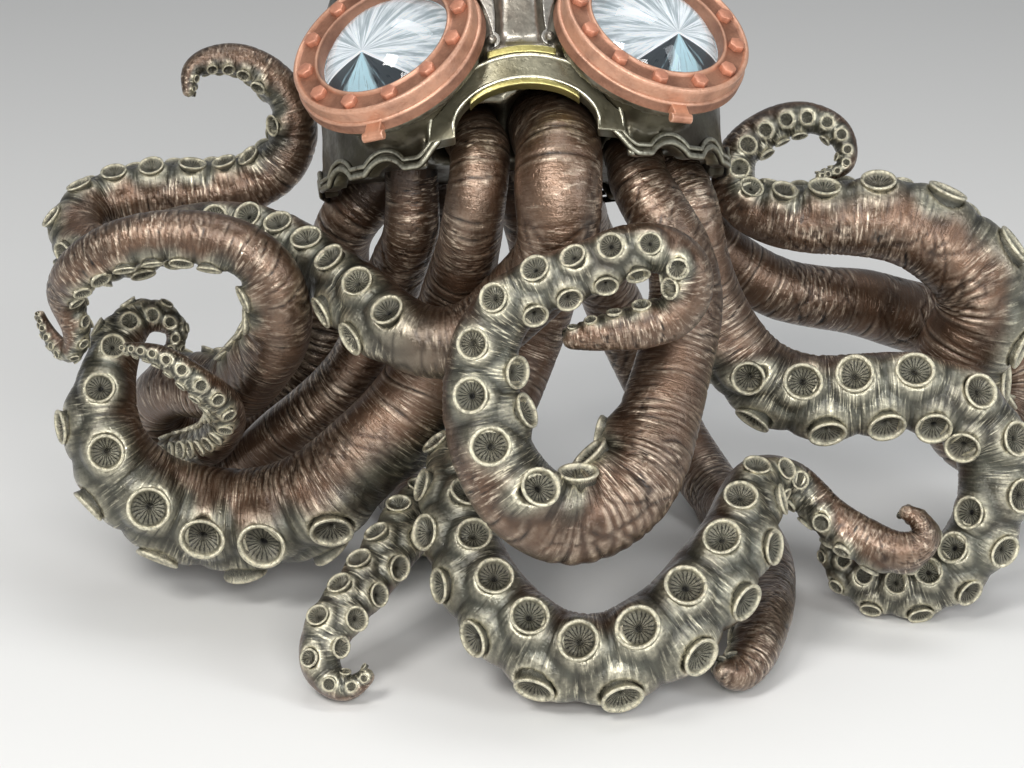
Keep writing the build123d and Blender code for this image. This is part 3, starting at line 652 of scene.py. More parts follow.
def creases(route, ring, around, seed):
    turn = np.abs(around - 0.5) * FULL
    back = step(np.cos(turn), *BACK_SPAN)
    girth = route.girth[ring]
    slant = 0.75 * (math.pi - turn)
    where = step(field(girth / 1.6, around, 4, seed), -0.45, 0.2)
    beat = girth / RING_SPACING + 0.55 * field(girth / 0.8, around, 5, seed + 1)
    kept = step(field(np.floor(beat) * 3.7, around, 4, seed + 8), -0.45, 0.1)
    kept = kept * (0.3 + 0.7 * where) * back
    rings = groove((beat % 1) - 0.5, RING_WIDTH) * kept
    # Beside each ring crease a bright band is painted: a painted highlight on the shoulder, where the skin is
    # not raised.
    painted_shoulder_highlight = groove((beat % 1) - 0.71, RING_WIDTH) * kept
    one_way = groove(field((girth + slant) / CROSS_SPACING, around, 3, seed + 2), CROSS_WIDTH)
    other_way = groove(field((girth - slant) / CROSS_SPACING, around, 3, seed + 3), CROSS_WIDTH)
    crossed = np.maximum(one_way, other_way) * (1 - where)
    lines = groove(field(girth / LINE_SPACING, around, 6, seed + 4), LINE_WIDTH)
    return np.maximum(rings, 0.8 * back * crossed), painted_shoulder_highlight, (1 - back) * lines


def folds(route, ring, around, out, seed):
    girth = route.girth[ring]
    tight = np.einsum("ij,ij->i", out, route.bend[ring]) * route.radius[ring]
    back = step(np.cos((around - 0.5) * FULL), *BACK_SPAN)
    patch = step(field(girth / 1.4, around, 2, seed + 9), 0.0, 0.5) * back
    beat = girth / FOLD_SPACING + 1.5 * field(girth / 0.5, around, 5, seed + 5)
    depth = 0.65 + 0.35 * field(girth / 0.3, around, 5, seed + 10)
    return np.maximum(step(tight, 0.2, 0.7), 0.8 * patch) * depth * (0.5 + 0.5 * np.cos(FULL * beat)) ** 2


ROOT_DEPTH = 12.0
ROOT_SHADE_SPAN = (14, 2)
CREASE_DEPTH = 0.05
FOLD_DEPTH = 0.05
LINE_DEPTH = 0.014
LUMP_DEPTH = 0.026


def shape_skin(mesh, name, seed):
    route = ROUTES[name]
    share, around = home_map(mesh)
    ring = np.rint(share * (len(route.run) - 1)).astype(int)
    turn = (around - 0.5) * FULL
    out = route.belly[ring] * np.cos(turn)[:, None] + route.flank[ring] * np.sin(turn)[:, None]
    radius = route.radius[ring]
    creased, painted_shoulder_highlight, lined = creases(route, ring, around, seed)
    folded = folds(route, ring, around, out, seed)
    lumps = field(route.girth[ring] / 1.1, around, 4, seed + 6)
    relief = LUMP_DEPTH * lumps - CREASE_DEPTH * creased - LINE_DEPTH * lined - FOLD_DEPTH * folded
    reach = radius * (1 + relief)
    reach += swelling(name, ring, turn)
    to_tip = (route.run[-1] - route.run[ring]) / np.maximum(radius, 0.5)
    reach *= np.sqrt(np.clip(1 - np.clip(1 - to_tip, 0, 1) ** 2, 0, 1))
    reach[ring == 0] = 0
    plugged = np.where(ring < 2, ROOT_DEPTH, 0)[:, None]
    points = route.place[ring] - route.along[ring] * plugged + out * reach[:, None]
    points = carried(points, PART)
    points[:, 2] = np.maximum(points[:, 2], 0)
    mesh.vertices.foreach_set("co", points.ravel())
    mesh.update()
    belly = step(np.cos(turn) + 0.35 * field(route.girth[ring] / 0.6, around, 6, seed + 7), 0.0, 0.7)
    belly *= step(share, ARMS[name].bare - 0.07, ARMS[name].bare + 0.02)
    dark = np.maximum(creased, np.maximum(0.6 * folded, 0.45 * lined))
    # Near the hood the skin is painted in shade, as under the hem, and its painted highlight is taken off
    # there.
    root_shade = step(route.run[ring], *ROOT_SHADE_SPAN)
    return belly, np.maximum(dark, 0.7 * root_shade), painted_shoulder_highlight - root_shade


# %% [markdown]
# The map of hollows and heights is measured on the finished mesh: at each vertex the neighbours lie above
# the surface in a hollow and below it on a ridge. A little averaging makes the stain fade out as it does on
# metal.

# %% Hollows and heights
def of_vertices(mesh, key):
    values = np.empty(len(mesh.vertices) * 3)
    mesh.vertices.foreach_get(key, values)
    return values.reshape(-1, 3)


def hollows(mesh, rounds):
    count = len(mesh.vertices)
    places, normals = of_vertices(mesh, "co"), of_vertices(mesh, "normal")
    ends = np.empty(len(mesh.edges) * 2, int)
    mesh.edges.foreach_get("vertices", ends)
    a, b = ends.reshape(-1, 2).T
    way = places[b] - places[a]
    way /= np.maximum(np.linalg.norm(way, axis=1, keepdims=True), 1e-9)
    shares = np.maximum(np.bincount(a, minlength=count) + np.bincount(b, minlength=count), 1)
    rise = np.bincount(a, np.einsum("ij,ij->i", way, normals[a]), count)
    rise -= np.bincount(b, np.einsum("ij,ij->i", way, normals[b]), count)
    rise /= shares
    for _ in range(rounds):
        nearby = np.bincount(a, rise[b], count) + np.bincount(b, rise[a], count)
        rise = 0.5 * rise + 0.5 * nearby / shares
    return rise


def paint(mesh, second, hollow, high, dish=0.0):
    colours = np.zeros((len(mesh.vertices), 4), np.float32)
    for k, values in enumerate((second, hollow, high, dish)):
        colours[:, k] = np.clip(values, 0, 1)
    layer = mesh.attributes.get("patina") or mesh.attributes.new("patina", "FLOAT_COLOR", "POINT")
    layer.data.foreach_set("color", colours.ravel())


# %% [markdown]
# A sucker is a short trumpet: a stalk, a flared lip rubbed to bright brass, a dark dish with fine ribs that
# run to a black hole in the middle. Its outline is drawn once and spun round. The big suckers near the
# viewer get a fine outline, the hundreds of small ones a plain one of a few dozen faces.

# %% Sucker models
SUCKER_FINE = (
    (1.08, -1.0), (0.90, -0.62), (0.87, -0.36), (0.95, -0.16), (1.0, -0.08), (0.98, -0.01), (0.90, 0.02),
    (0.82, -0.03), (0.78, -0.14), (0.66, -0.24), (0.42, -0.32), (0.20, -0.38), (0.14, -0.62))
SUCKER_PLAIN = ((1.0, -1.0), (0.88, -0.4), (1.0, -0.06), (0.82, 0.01), (0.70, -0.2), (0.2, -0.4))
Look = namedtuple("Look", "second hollow high dish")


def sucker_look(reach, height):
    if height < -0.3 and reach > 0.8:
        return Look(1, 0.35, 0.0, 0)
    if reach < 0.18 or height < -0.5:
        return Look(1, 1.0, 0.0, 0.6)
    if reach < 0.75:
        return Look(1, 0.15, 0.12, 1)
    return Look(1, 0.1, 1.0 if height > -0.12 else 0.3, 0)


def drawn(bm, outline):
    verts = [bm.verts.new((reach, 0, height)) for reach, height in outline]
    return verts, [bm.edges.new(pair) for pair in zip(verts, verts[1:])]


def spin_round(bm, parts, steps):
    bmesh.ops.spin(
        bm, geom=parts, cent=(0, 0, 0), axis=(0, 0, 1), angle=FULL, steps=steps, use_merge=True)
    bmesh.ops.remove_doubles(bm, verts=bm.verts, dist=1e-5)


def sucker_model(name, outline, steps):
    bm = bmesh.new()
    map_uv = bm.loops.layers.uv.new("skin")
    patina = bm.verts.layers.float_color.new("patina")
    verts, edges = drawn(bm, outline)
    for vert, (reach, height) in zip(verts, outline):
        vert[patina] = sucker_look(reach, height)
    spin_round(bm, verts + edges, steps)
    bmesh.ops.holes_fill(bm, edges=[e for e in bm.edges if e.is_boundary and e.verts[0].co.xy.length < 0.5])
    bmesh.ops.recalc_face_normals(bm, faces=bm.faces)
    for face in bm.faces:
        middle = face.calc_center_median()
        turn = math.atan2(middle.y, middle.x)
        for loop in face.loops:
            at = loop.vert.co
            off = (math.atan2(at.y, at.x) - turn + math.pi) % FULL - math.pi
            loop[map_uv].uv = ((turn + off) / FULL, at.xy.length)
    mesh = mesh_from(bm, name)
    print(name, len(mesh.polygons), "faces")
    return mesh


FINE_SUCKER = sucker_model("fine_sucker", SUCKER_FINE, 28)
PLAIN_SUCKER = sucker_model("plain_sucker", SUCKER_PLAIN, 12)
FINE_SIZE = 3.4

# %% [markdown]
# The arm finish has two coats. The back is brown copper rubbed to a pinkish gold, and the sucker side is
# grey-green bronze. The dish of a sucker gets fine dark ribs from its own UV map, and the skin gets fine
# strokes across the arm, the trace of the modelling tool. In patches they are scuffed bright on top, which is
# both wear and a painted highlight broken up by the strokes, and hold dark stain between.

# %% Arm finish
RIBS = 20
RIB_BEND = 700.0
SCUFF_HIGHLIGHT_PATCH = 45.0
STROKES = (420.0, 9.0, 1.0)


def arm_finish():
    back = coat((110, 82, 62), (72, 52, 37), (18, 14, 10), (242, 222, 198))
    front = coat((94, 94, 83), (62, 57, 47), (14, 13, 11), (238, 231, 204))
    material = finish("arm_bronze", back, front, patch=70.0, press=0.5, grain=1300.0, lacquer=0.7)
    tree = material.node_tree
    shader = tree.nodes["Principled BSDF"]
    mapped = next(n for n in tree.nodes if n.type == "ATTRIBUTE")
    bump = next(n for n in tree.nodes if n.type == "BUMP")
    place = tree.nodes.new("ShaderNodeTexCoord").outputs["UV"]
    turn = add(tree, "ShaderNodeSeparateXYZ", {0: place}).outputs["X"]
    where = next(n for n in tree.nodes if n.type == "TEX_COORD").outputs["Object"]
    bent = sums(tree, "MULTIPLY", cloud(tree, RIB_BEND, 2, where), 5)
    beat = sums(tree, "ADD", sums(tree, "MULTIPLY", turn, RIBS * FULL), bent)
    wave = add(tree, "ShaderNodeMath", {0: beat}, operation="SINE").outputs[0]
    rib = sums(tree, "MULTIPLY", ramp(tree, wave, 0.1, 0.7), mapped.outputs["Alpha"])
    aged = shader.inputs["Base Color"].links[0].from_socket
    ribbed = mix(tree, sums(tree, "MULTIPLY", rib, 0.85), aged, tint(14, 13, 11))
    tree.links.new(ribbed, shader.inputs["Base Color"])
    stretched = add(tree, "ShaderNodeMapping", {"Vector": place, "Scale": STROKES}).outputs[0]
    stroke = cloud(tree, 1.0, 4, stretched)
    # Patches where the stroke tops are painted bright: scuffed wear and a painted highlight together.
    scuffs_and_highlights = ramp(tree, cloud(tree, SCUFF_HIGHLIGHT_PATCH, 2, where), 0.42, 0.62)
    marks = {"High": ramp(tree, stroke, 0.53, 0.66, 0.0, 0.95),
             "Hollow": ramp(tree, stroke, 0.46, 0.32, 0.0, 0.7)}
    metal = next(n for n in tree.nodes if n.type == "GROUP" and n.node_tree == AGED)
    for mark, share in marks.items():
        painted = metal.inputs[mark].links[0].from_socket
        tree.links.new(sums(tree, "ADD", painted, sums(tree, "MULTIPLY", share, scuffs_and_highlights)), metal.inputs[mark])
    pebble = bump.inputs["Height"].links[0].from_socket
    height = sums(tree, "ADD", pebble, sums(tree, "MULTIPLY", stroke, 2.2))
    height = sums(tree, "SUBTRACT", height, sums(tree, "MULTIPLY", rib, 1.2))
    tree.links.new(height, bump.inputs["Height"])
    return material


ARM_FINISH = arm_finish()

# %% [markdown]
# Every piece ends the same way: its mesh becomes an object at the origin, gets its finish, rides on the one
# body that the figure has, and stands for the plain solid of the frame.

# %% Hand a piece over
def place_piece(name, mesh, material, nodes, crisp=None):
    mesh.shade_smooth()
    if crisp:
        mesh.set_sharp_from_angle(angle=math.radians(crisp))
    mesh.materials.clear()
    mesh.materials.append(material)
    piece = bpy.data.objects.new(name, mesh)
    bpy.context.collection.objects.link(piece)
    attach(piece, "root")
    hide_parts(*nodes)
    print(name, len(mesh.polygons), "faces")
    return piece


# %% [markdown]
# Now each arm is put together: the skin is shaped and its map is painted, then the suckers are set on it,
# each one tilted and squeezed a little, because they were pressed by hand.

# %% Build the arms
TILT = 0.16
SQUEEZE = (0.92, 1.06)


def sucker_frame(route, sucker, rng):
    out = sucker_side(route, sucker.ring, sucker.row)
    out = unit(out + TILT * rng.uniform(-1, 1, 3))
    along = unit(route.along[sucker.ring] - out * (route.along[sucker.ring] @ out))
    side = np.cross(out, along)
    size = sucker.size * rng.uniform(*SQUEEZE, 2)
    foot = route.place[sucker.ring] + sucker_side(route, sucker.ring, sucker.row) * route.radius[sucker.ring]
    top = foot + out * route.radius[sucker.ring] * SUCKER_HEIGHT
    grown = np.column_stack([along * size[0], side * size[1], out * sucker.size, top])
    return PART @ Matrix(np.vstack([grown, [0, 0, 0, 1]]).tolist())


def build_arm(name, seed):
    route = ROUTES[name]
    rng = np.random.default_rng(seed)
    skin = rolled_grid(len(route.run) - 1)
    belly, dark, bright = shape_skin(skin, name, seed)
    rise = hollows(skin, 2)
    # The high map is rubbed wear on ridges plus the painted highlight beside each crease, less the painted
    # root shade.
    rubbed = np.maximum(0.6 * bright, -5 * rise - 0.08) * (bright >= 0)
    paint(skin, belly, np.maximum(dark, 2.4 * rise), rubbed)
    bm = bmesh.new()
    bm.from_mesh(skin)
    for sucker in SUCKERS[name]:
        model = (FINE_SUCKER if sucker.size > FINE_SIZE else PLAIN_SUCKER).copy()
        model.transform(sucker_frame(route, sucker, rng))
        bm.from_mesh(model)
        bpy.data.meshes.remove(model)
    for vert in bm.verts:
        vert.co.z = max(vert.co.z, 0)
    bm.verts.layers.float_vector.remove(bm.verts.layers.float_vector["home"])
    mesh = mesh_from(bm, name)
    bpy.data.meshes.remove(skin)
    return place_piece(name + "_skin", mesh, ARM_FINISH, [name])


for number, name in enumerate(ARMS):
    build_arm(name, 100 * (number + 1))

# %% [markdown]
# The hood, its band and its small trims have the right shapes in the frame already, but their edges are
# knife sharp. A casting has soft edges. A copy of each solid is welded, wrapped in a fine voxel skin and
# smoothed, which rounds every edge and fills every corner a little, as the mould does. Then the surface is
# dented very slightly.

# %% Recast the hood and its trims
NOSE_HALF = 9.0
NOSE_FOOT = 22.0
NOSE_DEPTH = (-12, -32)


def recast(node, voxel, rounds, dent, seed):
    bm = bmesh.new()
    bm.from_mesh(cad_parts[node].data)
    bmesh.ops.remove_doubles(bm, verts=bm.verts, dist=1e-6)
    mesh = mesh_from(bm, node)
    blank = bpy.data.objects.new(node + "_blank", mesh)
    bpy.context.collection.objects.link(blank)
    wrap = blank.modifiers.new("wrap", "REMESH")
    wrap.mode = "VOXEL"
    wrap.voxel_size = voxel * MM
    soften = blank.modifiers.new("soften", "SMOOTH")
    soften.factor = 0.5
    soften.iterations = rounds
    cast = bpy.data.meshes.new_from_object(blank.evaluated_get(bpy.context.evaluated_depsgraph_get()))
    bpy.data.objects.remove(blank)
    bpy.data.meshes.remove(mesh)
    dented(cast, dent, seed)
    rise = hollows(cast, 2)
    paint(cast, on_nose(cast), 2.4 * rise, -3.0 * rise - 0.05)
    return cast


def seen_from(stand, mesh):
    return carried(of_vertices(mesh, "co"), (PART @ stand).inverted()).T


def on_nose(mesh):
    x, y, z = seen_from(HEAD, mesh)
    beside = step(np.abs(x), NOSE_HALF + 2, NOSE_HALF - 1)
    return beside * step(z, NOSE_FOOT - 2, NOSE_FOOT + 1) * step(y, *NOSE_DEPTH)


DENT_SIZE = 9.0
DENT_WAYS = (0.9, 1.7, 0.6), (-1.3, 0.5, 1.9), (2.6, -1.1, 3.1), (1.2, 3.4, -2.2)


def dented(mesh, depth, seed):
    places, normals = of_vertices(mesh, "co"), of_vertices(mesh, "normal")
    cells = places / (DENT_SIZE * MM)
    broad_one, broad_two, fine_one, fine_two = (cells @ np.array(way) for way in DENT_WAYS)
    waves = np.sin(broad_one + seed) * np.sin(broad_two + 2 * seed)
    waves += 0.6 * np.sin(fine_one) * np.sin(fine_two + seed)
    mesh.vertices.foreach_set("co", (places + normals * (waves * depth * MM)[:, None]).ravel())
    mesh.update()


# %% [markdown]
# Two rolled edges run along the hem of the hood, which is arched over each arm, and a thin raised line
# follows both edges of the band. They are round beads: a grid is rolled up as for the arms and laid along a
# line that is drawn on the hood, in the hood's own millimetres. A bead is rubbed bright on top and dark
# where it meets the surface.

# %% Beads for the hem and the band
HOOD_RADIUS = 60.0
HEM_SIDE = 2.0
HEM_SLOPE = math.tan(math.radians(12))
HEM_BEADS = ((0.5, 1.0), (2.9, 0.8))
HEM_START = math.radians(23)
HEM_FREE = math.radians(31)
HEM_PROUD = 1.2
HEM_POINTS = 760
SCALLOP = 10.0
SCALLOP_SINK = 6.5
SCALLOP_ANGLES = (-112, -88, -64, -43, 43, 64, 88, 112)
ARCH_HALF = 20.0
ARCH_HEIGHT = 12.0
BAND_EDGES = (0.7, 7.3)
BAND_FOOT = -3.0
BAND_PROUD = 2.0
ARCH_POINTS = 90
BEAD_COLUMNS = 10
BEAD_EASE = 4
BAND_BEAD = 0.65


def on_hood(x, z, proud):
    return (x, -math.sqrt((HOOD_RADIUS + proud) ** 2 - x ** 2), z)


def hem_height(angle):
    height = HEM_SIDE - HOOD_RADIUS * math.cos(angle) * HEM_SLOPE
    for degrees in SCALLOP_ANGLES:
        middle = math.radians(degrees)
        off = (angle - middle + math.pi) % FULL - math.pi
        aside = HOOD_RADIUS * math.sin(off)
        if abs(off) < 1 and abs(aside) < SCALLOP:
            foot = HEM_SIDE - HOOD_RADIUS * math.cos(middle) * HEM_SLOPE - SCALLOP_SINK
            height = max(height, foot + math.sqrt(SCALLOP ** 2 - aside ** 2))
    return height


def hem_line(rise):
    reach = HOOD_RADIUS + HEM_PROUD
    line = []
    for turn in np.linspace(HEM_START, FULL - HEM_START, HEM_POINTS):
        tucked = step(min(turn, FULL - turn), HEM_FREE, HEM_START)
        height = (1 - tucked) * hem_height(turn) + tucked * BAND_FOOT
        line.append((reach * math.sin(turn), -reach * math.cos(turn), height + rise))
    return line


def band_line(grow):
    half = ARCH_HALF + grow
    turns = [math.pi * k / ARCH_POINTS for k in range(ARCH_POINTS + 1)]
    arch = [(half * math.cos(t), (ARCH_HEIGHT + grow) * math.sin(t)) for t in turns]
    outline = [(half, BAND_FOOT + 0.2)] + arch + [(-half, BAND_FOOT + 0.2)]
    return [on_hood(x, z, BAND_PROUD) for x, z in outline]


def bead(line, radius):
    line = np.array(line)
    mesh = rolled_grid(len(line) - 1, BEAD_COLUMNS)
    share, around = home_map(mesh)
    mesh.attributes.remove(mesh.attributes["home"])
    ring = np.rint(share * (len(line) - 1)).astype(int)
    along = unit(np.gradient(line, axis=0))
    side = unit(np.cross(along, line * (1, 1, 0)))
    out = np.cross(side, along)
    turn = (around * FULL)[:, None]
    round_it = out[ring] * np.cos(turn) + side[ring] * np.sin(turn)
    ease = np.sqrt(np.clip(np.minimum(ring, len(line) - 1 - ring) / BEAD_EASE, 0, 1))
    points = line[ring] + round_it * (radius * ease)[:, None]
    mesh.vertices.foreach_set("co", carried(points, PART @ HEAD).ravel())
    mesh.update()
    top = np.cos(turn[:, 0])
    paint(mesh, 0, step(top, 0.35, -0.4), 0.9 * step(top, 0.3, 0.9))
    return mesh


def joined(*meshes):
    bm = bmesh.new()
    for mesh in meshes:
        bm.from_mesh(mesh)
    return mesh_from(bm, "joined")


HOOD_CAST = ("helmet", 1.15, 3, 0.25, 1)
BAND_CAST = ("collar_band", 0.35, 4, 0.12, 3)
hood = joined(recast(*HOOD_CAST), *[bead(hem_line(rise), radius) for rise, radius in HEM_BEADS])
band = joined(recast(*BAND_CAST), *[bead(band_line(grow), BAND_BEAD) for grow in BAND_EDGES])
place_piece("hood", hood, HOOD_FINISH, ["helmet"])
place_piece("arched_band", band, BAND_FINISH, ["collar_band"])

# %% [markdown]
# The core and the trims are recast in the same way. The finer the piece, the smaller its voxel.

# %% Core and trims
TRIMS = {
    "core": ("arm_crown", 1.6, 2, 0.2, 2, HOOD_FINISH, "hood_bronze"),
    "brass_lip": ("lip_trim", 0.2, 24, 0.05, 4, BRASS_FINISH, "trim_brass"),
    "brass_brow": ("brow_bar", 0.2, 24, 0.05, 5, BRASS_FINISH, "trim_brass"),
    "rivets": ("strap_rivets", 0.16, 6, 0.02, 6, HOOD_FINISH, "hood_bronze"),
    "leaf_strap_left": ("nose_strap_left", 0.22, 4, 0.05, 7, STRAP_FINISH, "band_bronze"),
    "leaf_strap_right": ("nose_strap_right", 0.22, 4, 0.05, 7, STRAP_FINISH, "band_bronze"),
}
for piece, (node, voxel, rounds, dent, seed, metal, slot) in TRIMS.items():
    place_piece(piece, recast(node, voxel, rounds, dent, seed), metal, [node])

# %% [markdown]
# A porthole is turned work, so its parts are outlines spun round the eye's axis: the base flange, the rim
# with its inner and outer bead, the glass. The outline is drawn once, in millimetres from the seat, and
# used for both eyes.

# %% Turned parts of the portholes
FLANGE_OUTLINE = ((21.15, 0.1), (21.15, 3.7), (28.2, 3.75), (28.6, 3.5), (28.8, 3.0), (28.8, 0.1))
RIM_OUTLINE = (
    (20.0, 3.85), (20.0, 7.7), (20.2, 8.15), (20.6, 8.3), (21.0, 8.15), (21.3, 7.55), (21.7, 7.4),
    (26.0, 7.4), (26.4, 7.55), (26.7, 8.15), (27.1, 8.3), (27.6, 8.15), (27.95, 7.7), (28.0, 7.0),
    (28.0, 3.85))
TURNED_STEPS = 144


def spun(outline, steps, matrix, closed=True):
    bm = bmesh.new()
    verts, edges = drawn(bm, outline)
    if closed:
        edges.append(bm.edges.new((verts[-1], verts[0])))
    spin_round(bm, verts + edges, steps)
    bmesh.ops.recalc_face_normals(bm, faces=bm.faces)
    bmesh.ops.transform(bm, matrix=PART @ matrix, verts=bm.verts)
    return mesh_from(bm, "turned")


# Painted shade lies on the floor between the beads, inside the rim, on the flange and down the rim's outer
# wall.
FLOOR_SHADE, FLOOR_IN, FLOOR_OUT, FLOOR_OVER = 0.35, (21.3, 21.6), (26.4, 26.1), 7
INSIDE_SHADE, INSIDE_REACH = 0.7, 20.3
FLANGE_SHADE, FLANGE_SPAN = 0.8, (3.6, 2.9)
WALL_SHADE, WALL_SPAN, WALL_REACH, WALL_OVER = 0.5, (6.9, 3.9), 27.9, 3.8


def porthole_painted_shade(reach, height):
    floor = step(reach, *FLOOR_IN) * step(reach, *FLOOR_OUT) * (height > FLOOR_OVER)
    wall = step(height, *WALL_SPAN) * (reach > WALL_REACH) * (height > WALL_OVER)
    turned = FLOOR_SHADE * floor + INSIDE_SHADE * (reach < INSIDE_REACH)
    return turned + (FLANGE_SHADE * step(height, *FLANGE_SPAN) + WALL_SHADE * wall)


for word, side in SIDES.items():
    seat = eye_seat(side)
    for piece, outline in (("flange", FLANGE_OUTLINE), ("rim", RIM_OUTLINE)):
        mesh = spun(outline, TURNED_STEPS, seat)
        rise = hollows(mesh, 1)
        x, y, z = seen_from(seat, mesh)
        stain_and_shade = porthole_painted_shade(np.hypot(x, y), z)
        # Painted shade darkens these places, and less is rubbed bright where it lies.
        paint(mesh, 0, 1.4 * rise + stain_and_shade, -1.6 * rise * (1 - np.clip(1.25 * stain_and_shade, 0, 1)))
        node = "porthole_" + piece + "_" + word
        place_piece(piece + "_" + word, mesh, COPPER_FINISH, [node], crisp=50)

# %% [markdown]
# Twelve hex heads hold each rim. A head is a six-sided cone with its upper edge bevelled, set down with a
# small random turn, because nobody lines up bolts.

# %% Hex bolts
BOLT_CIRCLE = 23.9
BOLT_COUNT = 12
BOLT_FACE = 7.3
BOLT_HEAD = 2.0
BOLT_REACH = 2.5
BOLT_TAPER = 0.94
BOLT_BEVEL = 0.28


def bolt_ring(side):
    rng = np.random.default_rng(50 + side)
    bm = bmesh.new()
    for k in range(BOLT_COUNT):
        turn = Matrix.Rotation(FULL * (k + 0.5) / BOLT_COUNT, 4, "Z")
        spin = Matrix.Rotation(rng.uniform(0, FULL / 6), 4, "Z")
        stand = turn @ Matrix.Translation((BOLT_CIRCLE, 0, BOLT_FACE + BOLT_HEAD / 2)) @ spin
        head = bmesh.ops.create_cone(
            bm, cap_ends=True, segments=6, radius1=BOLT_REACH, radius2=BOLT_REACH * BOLT_TAPER,
            depth=BOLT_HEAD, matrix=stand)["verts"]
        rims = {e for v in head for e in v.link_edges}
        bmesh.ops.bevel(
            bm, geom=list(rims), offset=BOLT_BEVEL, offset_type="OFFSET", segments=2, profile=0.5,
            affect="EDGES", material=-1)
    bmesh.ops.transform(bm, matrix=PART @ eye_seat(side), verts=bm.verts)
    mesh = mesh_from(bm, "bolts")
    paint(mesh, 0, 0.1, -1.5 * hollows(mesh, 1))
    return mesh


for word, side in SIDES.items():
    bolts = bolt_ring(side)
    place_piece("hex_bolts_" + word, bolts, BOLT_FINISH, ["rim_bolts_" + word], crisp=40)
    latch = recast("rim_latch_" + word, 0.2, 4, 0.05, 8)
    place_piece("latch_" + word, latch, COPPER_FINISH, ["rim_latch_" + word])

# %% [markdown]
# The glass is a solid dome. What one sees in it is the silvered disc behind, bent by the glass: a crumpled
# foil with streaks that fan out from one point, and below that point a dark wedge with a pale blue heart.
# The foil also glows a little in its own colours, a painted glow that stands for the light the lens gathers.
# The foil is a fine disc pressed into ridges. The right eye is the mirror image of the left one.

# %% Glass domes and silvered discs
LENS_RADIUS = 20.9
DOME_RADIUS = 19.8
LENS_EDGE = 3.6
LENS_RISE = 10.3
LENS_STEPS = 14
FOIL_HEIGHT = 1.0
FOIL_SIDES, FOIL_RINGS, FOIL_RIDGES = 96, 20, 7
RIDGE_HALF, RIDGE_RISE = 2.2, 0.35
FAN_MIDDLE = (0.35, 0.52)
WEDGE = (-2.55, -0.65)


def lens_outline():
    ball = (DOME_RADIUS ** 2 + LENS_RISE ** 2) / (2 * LENS_RISE)
    foot = DISC_THICK + 0.1
    outline = [(0.0, foot), (LENS_RADIUS, foot), (LENS_RADIUS, LENS_EDGE), (DOME_RADIUS, LENS_EDGE)]
    widest = math.asin(DOME_RADIUS / ball)
    for k in range(1, LENS_STEPS + 1):
        angle = widest * (1 - k / LENS_STEPS)
        outline.append((ball * math.sin(angle), LENS_EDGE + LENS_RISE - ball * (1 - math.cos(angle))))
    return outline


def glass_finish():
    material, tree, shader = new_material("lens_glass")
    shader.inputs["Transmission Weight"].default_value = 1.0
    shader.inputs["IOR"].default_value = 1.45
    where = tree.nodes.new("ShaderNodeTexCoord").outputs["Object"]
    smear = cloud(tree, 140.0, 3, where)
    tree.links.new(ramp(tree, smear, 0.45, 0.75, 0.0, 0.06), shader.inputs["Roughness"])
    tree.links.new(mix(tree, smear, tint(250, 252, 255), tint(240, 247, 252)), shader.inputs["Base Color"])
    return material


def distance(tree, one, two):
    return add(tree, "ShaderNodeMath", {0: sums(tree, "SUBTRACT", one, two)}, operation="ABSOLUTE").outputs[0]


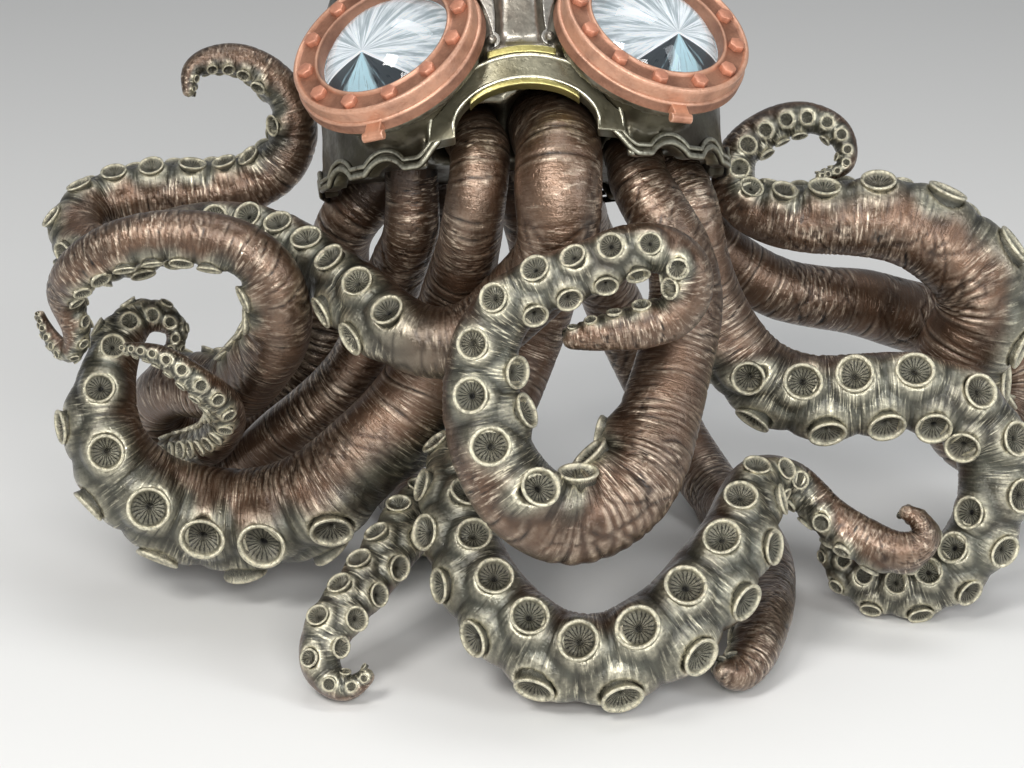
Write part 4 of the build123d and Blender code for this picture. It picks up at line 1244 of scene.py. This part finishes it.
def foil_finish():
    material, tree, shader = new_material("silver_foil")
    shader.inputs["Metallic"].default_value = 0.2
    # Painted glow: the foil shines a little in its own colours, beyond what the lamps give it.
    shader.inputs["Emission Strength"].default_value = 0.3
    place = tree.nodes.new("ShaderNodeTexCoord").outputs["UV"]
    flat = add(tree, "ShaderNodeSeparateXYZ", {0: place}).outputs
    x = sums(tree, "SUBTRACT", flat["X"], FAN_MIDDLE[0])
    y = sums(tree, "SUBTRACT", flat["Y"], FAN_MIDDLE[1])
    turn = sums(tree, "ARCTAN2", y, x)
    arrow = add(tree, "ShaderNodeCombineXYZ", {"X": x, "Y": y}).outputs[0]
    reach = add(tree, "ShaderNodeVectorMath", {0: arrow}, operation="LENGTH").outputs["Value"]
    spoke, ring = sums(tree, "MULTIPLY", turn, 9), sums(tree, "MULTIPLY", reach, 3)
    streak = cloud(tree, 1.0, 5, add(tree, "ShaderNodeCombineXYZ", {"X": spoke, "Y": ring}).outputs[0])
    silver = mix(tree, ramp(tree, streak, 0.40, 0.58), tint(160, 172, 176), tint(244, 247, 248))
    inside = sums(tree, "MULTIPLY", ramp(tree, turn, WEDGE[0] - 0.03, WEDGE[0] + 0.03),
                  ramp(tree, turn, WEDGE[1] + 0.03, WEDGE[1] - 0.03))
    aside = distance(tree, turn, sum(WEDGE) / 2)
    heart = ramp(tree, sums(tree, "ADD", aside, streak), 0.95, 0.75)
    blue = mix(tree, heart, tint(58, 64, 68), tint(178, 208, 216))
    colour = mix(tree, inside, silver, blue)
    for edge in WEDGE:
        off = sums(tree, "MULTIPLY", distance(tree, turn, edge), reach)
        colour = mix(tree, ramp(tree, off, 0.010, 0.004), colour, tint(250, 252, 253))
    for socket_name in ("Base Color", "Emission Color"):
        tree.links.new(colour, shader.inputs[socket_name])
    tree.links.new(ramp(tree, streak, 0.3, 0.7, 0.45, 0.2), shader.inputs["Roughness"])
    bump = add(tree, "ShaderNodeBump", {"Height": streak, "Strength": 0.5, "Distance": 0.0005})
    tree.links.new(bump.outputs["Normal"], shader.inputs["Normal"])
    return material


GLASS_FINISH = glass_finish()
FOIL_FINISH = foil_finish()


def foil_disc(side):
    bm = bmesh.new()
    map_uv = bm.loops.layers.uv.new("foil")
    bmesh.ops.create_circle(bm, cap_ends=True, segments=FOIL_SIDES, radius=LENS_RADIUS)
    for _ in range(FOIL_RINGS):
        middle = [f for f in bm.faces if len(f.verts) == FOIL_SIDES]
        bmesh.ops.inset_region(bm, faces=middle, thickness=1.0, use_even_offset=True)
    rng = np.random.default_rng(70 + side)
    slopes = rng.uniform(-1, 1, (FOIL_RIDGES, 2))
    for vert in bm.verts:
        offs = [vert.co.x * a + vert.co.y * b - 4 * k + 12 for k, (a, b) in enumerate(slopes)]
        ridge = max(1 - abs(off) / RIDGE_HALF for off in offs)
        vert.co.z = FOIL_HEIGHT + RIDGE_RISE * max(ridge, 0)
    for face in bm.faces:
        for loop in face.loops:
            x, y = loop.vert.co.xy / (2 * LENS_RADIUS)
            loop[map_uv].uv = (0.5 - side * x, 0.5 + y)
    bmesh.ops.transform(bm, matrix=PART @ eye_seat(side), verts=bm.verts)
    return mesh_from(bm, "foil")


for word, side in SIDES.items():
    glass = spun(lens_outline(), TURNED_STEPS, eye_seat(side), closed=False)
    place_piece("glass_" + word, glass, GLASS_FINISH, ["lens_" + word], crisp=50)
    place_piece("foil_" + word, foil_disc(side), FOIL_FINISH, ["eye_disc_" + word])
